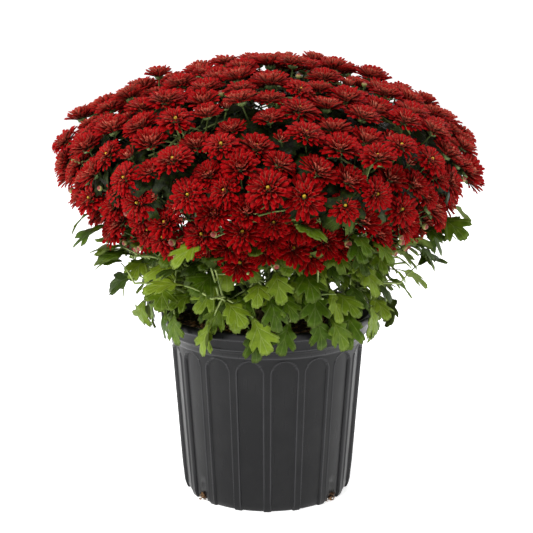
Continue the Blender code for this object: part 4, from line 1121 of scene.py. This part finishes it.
def make_petals(blooms, seed, turn):
    """One turn of petals on each listed bloom. A petal's middle line starts near the bloom's axis and is the
    running sum of steps whose lift from the bloom's plane goes evenly from foot to tip. Four points make
    each ring across it: two edges, a sunken middle above and a middle below, narrow at the foot, widest at
    two thirds and blunt at the tip."""
    draw = np.random.default_rng(seed)
    count, start, start_height, long, foot_lift, tip_lift, half_width = turn
    stations = np.array([0.34, 0.68, 0.92]) if foot_lift < 66.0 else np.array([0.50, 0.90])
    number = len(blooms) * count
    owner = np.repeat(blooms, count)
    opened = flower_openness[owner]
    radius = flower_radii[owner]
    slot = np.tile(np.arange(count), len(blooms))
    azimuth = math.tau * (slot + draw.normal(0.0, 0.12, number)) / count
    azimuth = azimuth + flower_spins[owner] + 0.5 * foot_lift
    size = long * radius * draw.normal(1.0, 0.045, number)
    lift_foot = np.radians(foot_lift + 10.0 * (0.5 - opened) + draw.normal(0.0, 3.0, number))
    lift_tip = np.radians(tip_lift + 1.2 * foot_lift * (0.5 - opened) + draw.normal(0.0, 5.0, number))
    roll = draw.normal(0.0, 0.22, number)
    sway = draw.normal(0.0, 0.09, number)
    share = np.concatenate([[0.0], stations, [1.0]])
    step = np.diff(share)
    lift = lift_foot[:, None] + (lift_tip - lift_foot)[:, None] * 0.5 * (share[1:] + share[:-1])
    outward = np.concatenate([np.zeros((number, 1)), np.cumsum(np.cos(lift) * step, axis=1)], axis=1)
    upward = np.concatenate([np.zeros((number, 1)), np.cumsum(np.sin(lift) * step, axis=1)], axis=1)
    outward = outward * size[:, None] + start * radius[:, None]
    upward = upward * size[:, None] + start_height * radius[:, None]
    normal = flower_facing[owner]
    first, second = directions_across(normal)
    out = first * np.cos(azimuth)[:, None] + second * np.sin(azimuth)[:, None]
    side = np.cross(normal, out)
    swing = (sway[:, None] * share ** 2 * size[:, None])[..., None]
    middle = flower_points[owner][:, None] + outward[..., None] * out[:, None]
    middle = middle + upward[..., None] * normal[:, None] + swing * side[:, None]
    tilt = lift_foot[:, None] + (lift_tip - lift_foot)[:, None] * share
    face = normal[:, None] * np.cos(tilt)[..., None] - out[:, None] * np.sin(tilt)[..., None]
    width_at = np.interp(share[1:-1], [0.0, 0.34, 0.68, 0.92, 1.0], [0.30, 0.60, 1.0, 0.84, 0.0])
    width = half_width * radius[:, None] * width_at
    across = side[:, None] * np.cos(roll)[:, None, None] + face[:, 1:-1] * np.sin(roll)[:, None, None]
    edge = width[..., None] * across
    hollow = (0.42 * width)[..., None] * face[:, 1:-1]
    thick = petal_thickness * face[:, 1:-1]
    inner = middle[:, 1:-1]
    rings = np.stack([inner + edge + hollow, inner, inner - edge + hollow, inner - thick], axis=2)
    points = np.concatenate([rings.reshape(number, -1, 3), middle[:, :1], middle[:, -1:]], axis=1)
    under = np.tile([0.35, 0.0, 0.35, 1.0], len(stations))
    aside = np.tile([1.0, 0.0, -1.0, 0.0], len(stations))
    place = np.stack([np.repeat(share[1:-1], 4), aside, under], axis=-1)
    place = np.vstack([place, [[0.0, 0.0, 0.5], [1.0, 0.0, 0.3]]])
    tone = np.repeat(draw.uniform(0.0, 1.0, number), points.shape[1])
    height = np.full(number * points.shape[1], foot_lift / 90.0)
    return *many_turned(points, len(stations), 4), np.tile(place, (number, 1)), tone, height


petal_red, tree, shader = new_finish("velvety crimson petal", [("Roughness", 0.60), ("IOR", 1.38),
                                                                ("Specular IOR Level", 0.10)])
# Crimson pigment sits in the upper skin, each petal with its own random tone, and the colour runs to near
# black at the foot: painted shade deep in the bloom. The back is dull crimson with a buff pink stripe along
# its middle, strongest on the inner petals. Fine ribs 0.6 to 0.8 mm apart run the length of each petal.
tone = add_node(tree, "ShaderNodeAttribute", attribute_name="petal_tone")
inner = add_node(tree, "ShaderNodeAttribute", attribute_name="petal_turn")
spot = add_node(tree, "ShaderNodeAttribute", attribute_name="petal_place")
split = add_node(tree, "ShaderNodeSeparateXYZ", [("Vector", spot.outputs["Vector"])])
# Painted shade: the petal darkens from tip to foot, nearly to black deep in the bloom, with each petal's
# random tone added.
depth = add_node(tree, "ShaderNodeMath", [(0, tone.outputs["Fac"]), (1, 0.40), (2, split.outputs["X"])],
                 operation="MULTIPLY_ADD")
crimson = add_node(tree, "ShaderNodeValToRGB", [("Fac", depth)],
                   [(0.20, "#280001"), (0.75, "#780003"), (1.0, "#9C0006")])
stripe = add_node(tree, "ShaderNodeMapRange", [
    ("Value", split.outputs["Z"]), ("From Min", 0.50), ("From Max", 0.90)], interpolation_type="SMOOTHSTEP")
strong = add_node(tree, "ShaderNodeMapRange", [
    ("Value", inner.outputs["Fac"]), ("From Min", 0.30), ("From Max", 0.72),
    ("To Min", 0.04), ("To Max", 0.85)])
# The inner petals' edges get the pale buff as well: partly the buff back showing at the rolled edge, partly a
# painted highlight.
edge = add_node(tree, "ShaderNodeMath", [(0, split.outputs["Y"])], operation="ABSOLUTE")
edge = add_node(tree, "ShaderNodeMapRange", [
    ("Value", edge), ("From Min", 0.62), ("From Max", 1.0), ("To Max", 0.42)])
pale = add_node(tree, "ShaderNodeMath", [(0, stripe), (1, edge)], operation="MAXIMUM")
striped = add_node(tree, "ShaderNodeMath", [(0, pale), (1, strong)], operation="MULTIPLY")
add_node(tree, "ShaderNodeMix", [("Factor", striped), (6, crimson), (7, linear("#DC9074"))],
         into=shader.inputs["Base Color"], data_type="RGBA")
ribs = add_node(tree, "ShaderNodeMath", [(0, split.outputs["Y"]), (1, 14.0)], operation="MULTIPLY")
ribs = add_node(tree, "ShaderNodeMath", [(0, ribs)], operation="SINE")
add_node(tree, "ShaderNodeBump", [("Strength", 0.25), ("Distance", 0.0002), ("Height", ribs)],
         into=shader.inputs["Normal"])

flower_openness = np.random.default_rng(81).beta(1.6, 1.4, len(flower_points))
flower_openness[bloom_count:] *= 0.5


def add_blooms(name, blooms, turns, seed):
    """One piece that holds every turn of petals of the listed blooms."""
    parts = [make_petals(blooms, seed + number, turn) for number, turn in enumerate(turns)]
    points, quads, triangles, places, tones, heights = zip(*parts)
    starts = np.concatenate([[0], np.cumsum([len(turn_points) for turn_points in points])])
    quads = np.concatenate([faces + start for faces, start in zip(quads, starts)])
    triangles = np.concatenate([faces + start for faces, start in zip(triangles, starts)])
    piece = make_piece(name, np.concatenate(points), quads, triangles, petal_red)
    for label, values in [("petal_place", places), ("petal_tone", tones), ("petal_turn", heights)]:
        mark(piece, label, np.concatenate(values))
    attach(piece, "root")
    return piece


for group, name in enumerate(["blooms_top", "blooms_shoulder", "blooms_side", "blooms_low"]):
    group_sprays = range(6 * group, 6 * group + 6)
    blooms = np.flatnonzero(np.isin(bloom_sprays, group_sprays))
    piece = add_blooms(name, blooms, petal_turns, 100 + 60 * group)
    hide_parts(*["bloom_spray_%02d" % (spray + 1) for spray in group_sprays])
add_blooms("half_open_blooms", np.arange(bloom_count, len(flower_points)), small_petal_turns, 400)

# Eyes. A button of short yellow florets, about 3.5 mm across, at the heart of every bloom; it shows in those
# that are wide open.
eye_outline = [(0.0, -0.16), (0.08, -0.12), (0.098, 0.02), (0.065, 0.10), (0.0, 0.125)]
floret, tree, shader = new_finish("yellow disc florets", [("Roughness", 0.7)])
# Disc florets are tiny matt tubes about 1 mm across, golden at their mouths and brown between them.
place = add_node(tree, "ShaderNodeTexCoord").outputs["Object"]
buttons = add_node(tree, "ShaderNodeTexVoronoi", [("Vector", place), ("Scale", 900.0)])
add_node(tree, "ShaderNodeValToRGB", [("Fac", buttons)], [(0.15, "#E6C22E"), (0.90, "#97740F")],
         into=shader.inputs["Base Color"])
add_node(tree, "ShaderNodeBump", [("Strength", 0.8), ("Distance", 0.0005), ("Height", buttons)],
         into=shader.inputs["Normal"])
eye_seats = [values[:bloom_count] for values in (flower_points, flower_facing, flower_radii)]
eye_piece = make_piece("bloom_eyes", *cups(*eye_seats, eye_outline, 6), floret)
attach(eye_piece, "root")

# Buds. A few flowers have not opened yet: pale green, egg-shaped, 5 to 8 mm across, with red petal tips just
# breaking out at the top. They stand on thin stalks among the blooms.
bud_outline = np.array([(0.0, -1.15), (0.18, -1.10), (0.62, -0.80), (0.95, -0.25), (0.90, 0.30), (0.55, 0.72),
                        (0.0, 0.90)])
bud_seats, bud_normals = settle(dome_profile(), scatter(dome_profile(), 1700))
bud_seats = bud_seats - 0.010 * bud_normals
bud_room = (np.linalg.norm(bud_seats[:, None] - flower_points, axis=2) - 0.75 * flower_radii).min(axis=1)
bud_choice = np.argsort(-bud_room)[:150:3]
bud_points, bud_facing = bud_seats[bud_choice], turned_up(bud_normals[bud_choice], 0.5)
bud_radii = np.random.default_rng(91).uniform(0.0024, 0.0038, len(bud_choice))
bud_skin, tree, shader = new_finish("opening bud", [("Roughness", 0.6)])
# The green scales give way to buff and dull red in the top third.
spot = add_node(tree, "ShaderNodeAttribute", attribute_name="bud_height")
place = add_node(tree, "ShaderNodeTexCoord").outputs["Object"]
blotch = add_node(tree, "ShaderNodeTexNoise", [("Vector", place), ("Scale", 500.0)])
rise = add_node(tree, "ShaderNodeMath", [(0, blotch), (1, 0.4), (2, spot.outputs["Fac"])],
                operation="MULTIPLY_ADD")
add_node(tree, "ShaderNodeValToRGB", [("Fac", rise)],
         [(0.55, "#7C8E4A"), (0.90, "#A58A58"), (1.0, "#7A2018")], into=shader.inputs["Base Color"])
bud_piece = make_piece("buds", *cups(bud_points, bud_facing, bud_radii, bud_outline, 8), bud_skin)
bud_levels = np.concatenate([np.repeat(bud_outline[1:-1, 1], 8), bud_outline[[0, -1], 1]]) / 1.8 + 0.5
mark(bud_piece, "bud_height", np.tile(bud_levels, len(bud_choice)))
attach(bud_piece, "root")
bud_sprays = bloom_sprays[np.argmin(np.linalg.norm(bud_points[:, None] - bloom_points, axis=2), axis=1)]
bud_lines = flower_stalk_lines(bud_points - 1.05 * bud_radii[:, None] * bud_facing, bud_facing, bud_sprays, 7)
bud_stalks = make_piece("bud_stalks", *tubes(bud_lines, 0.0007, 4), shaded_stalk_green)
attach(bud_stalks, "root")
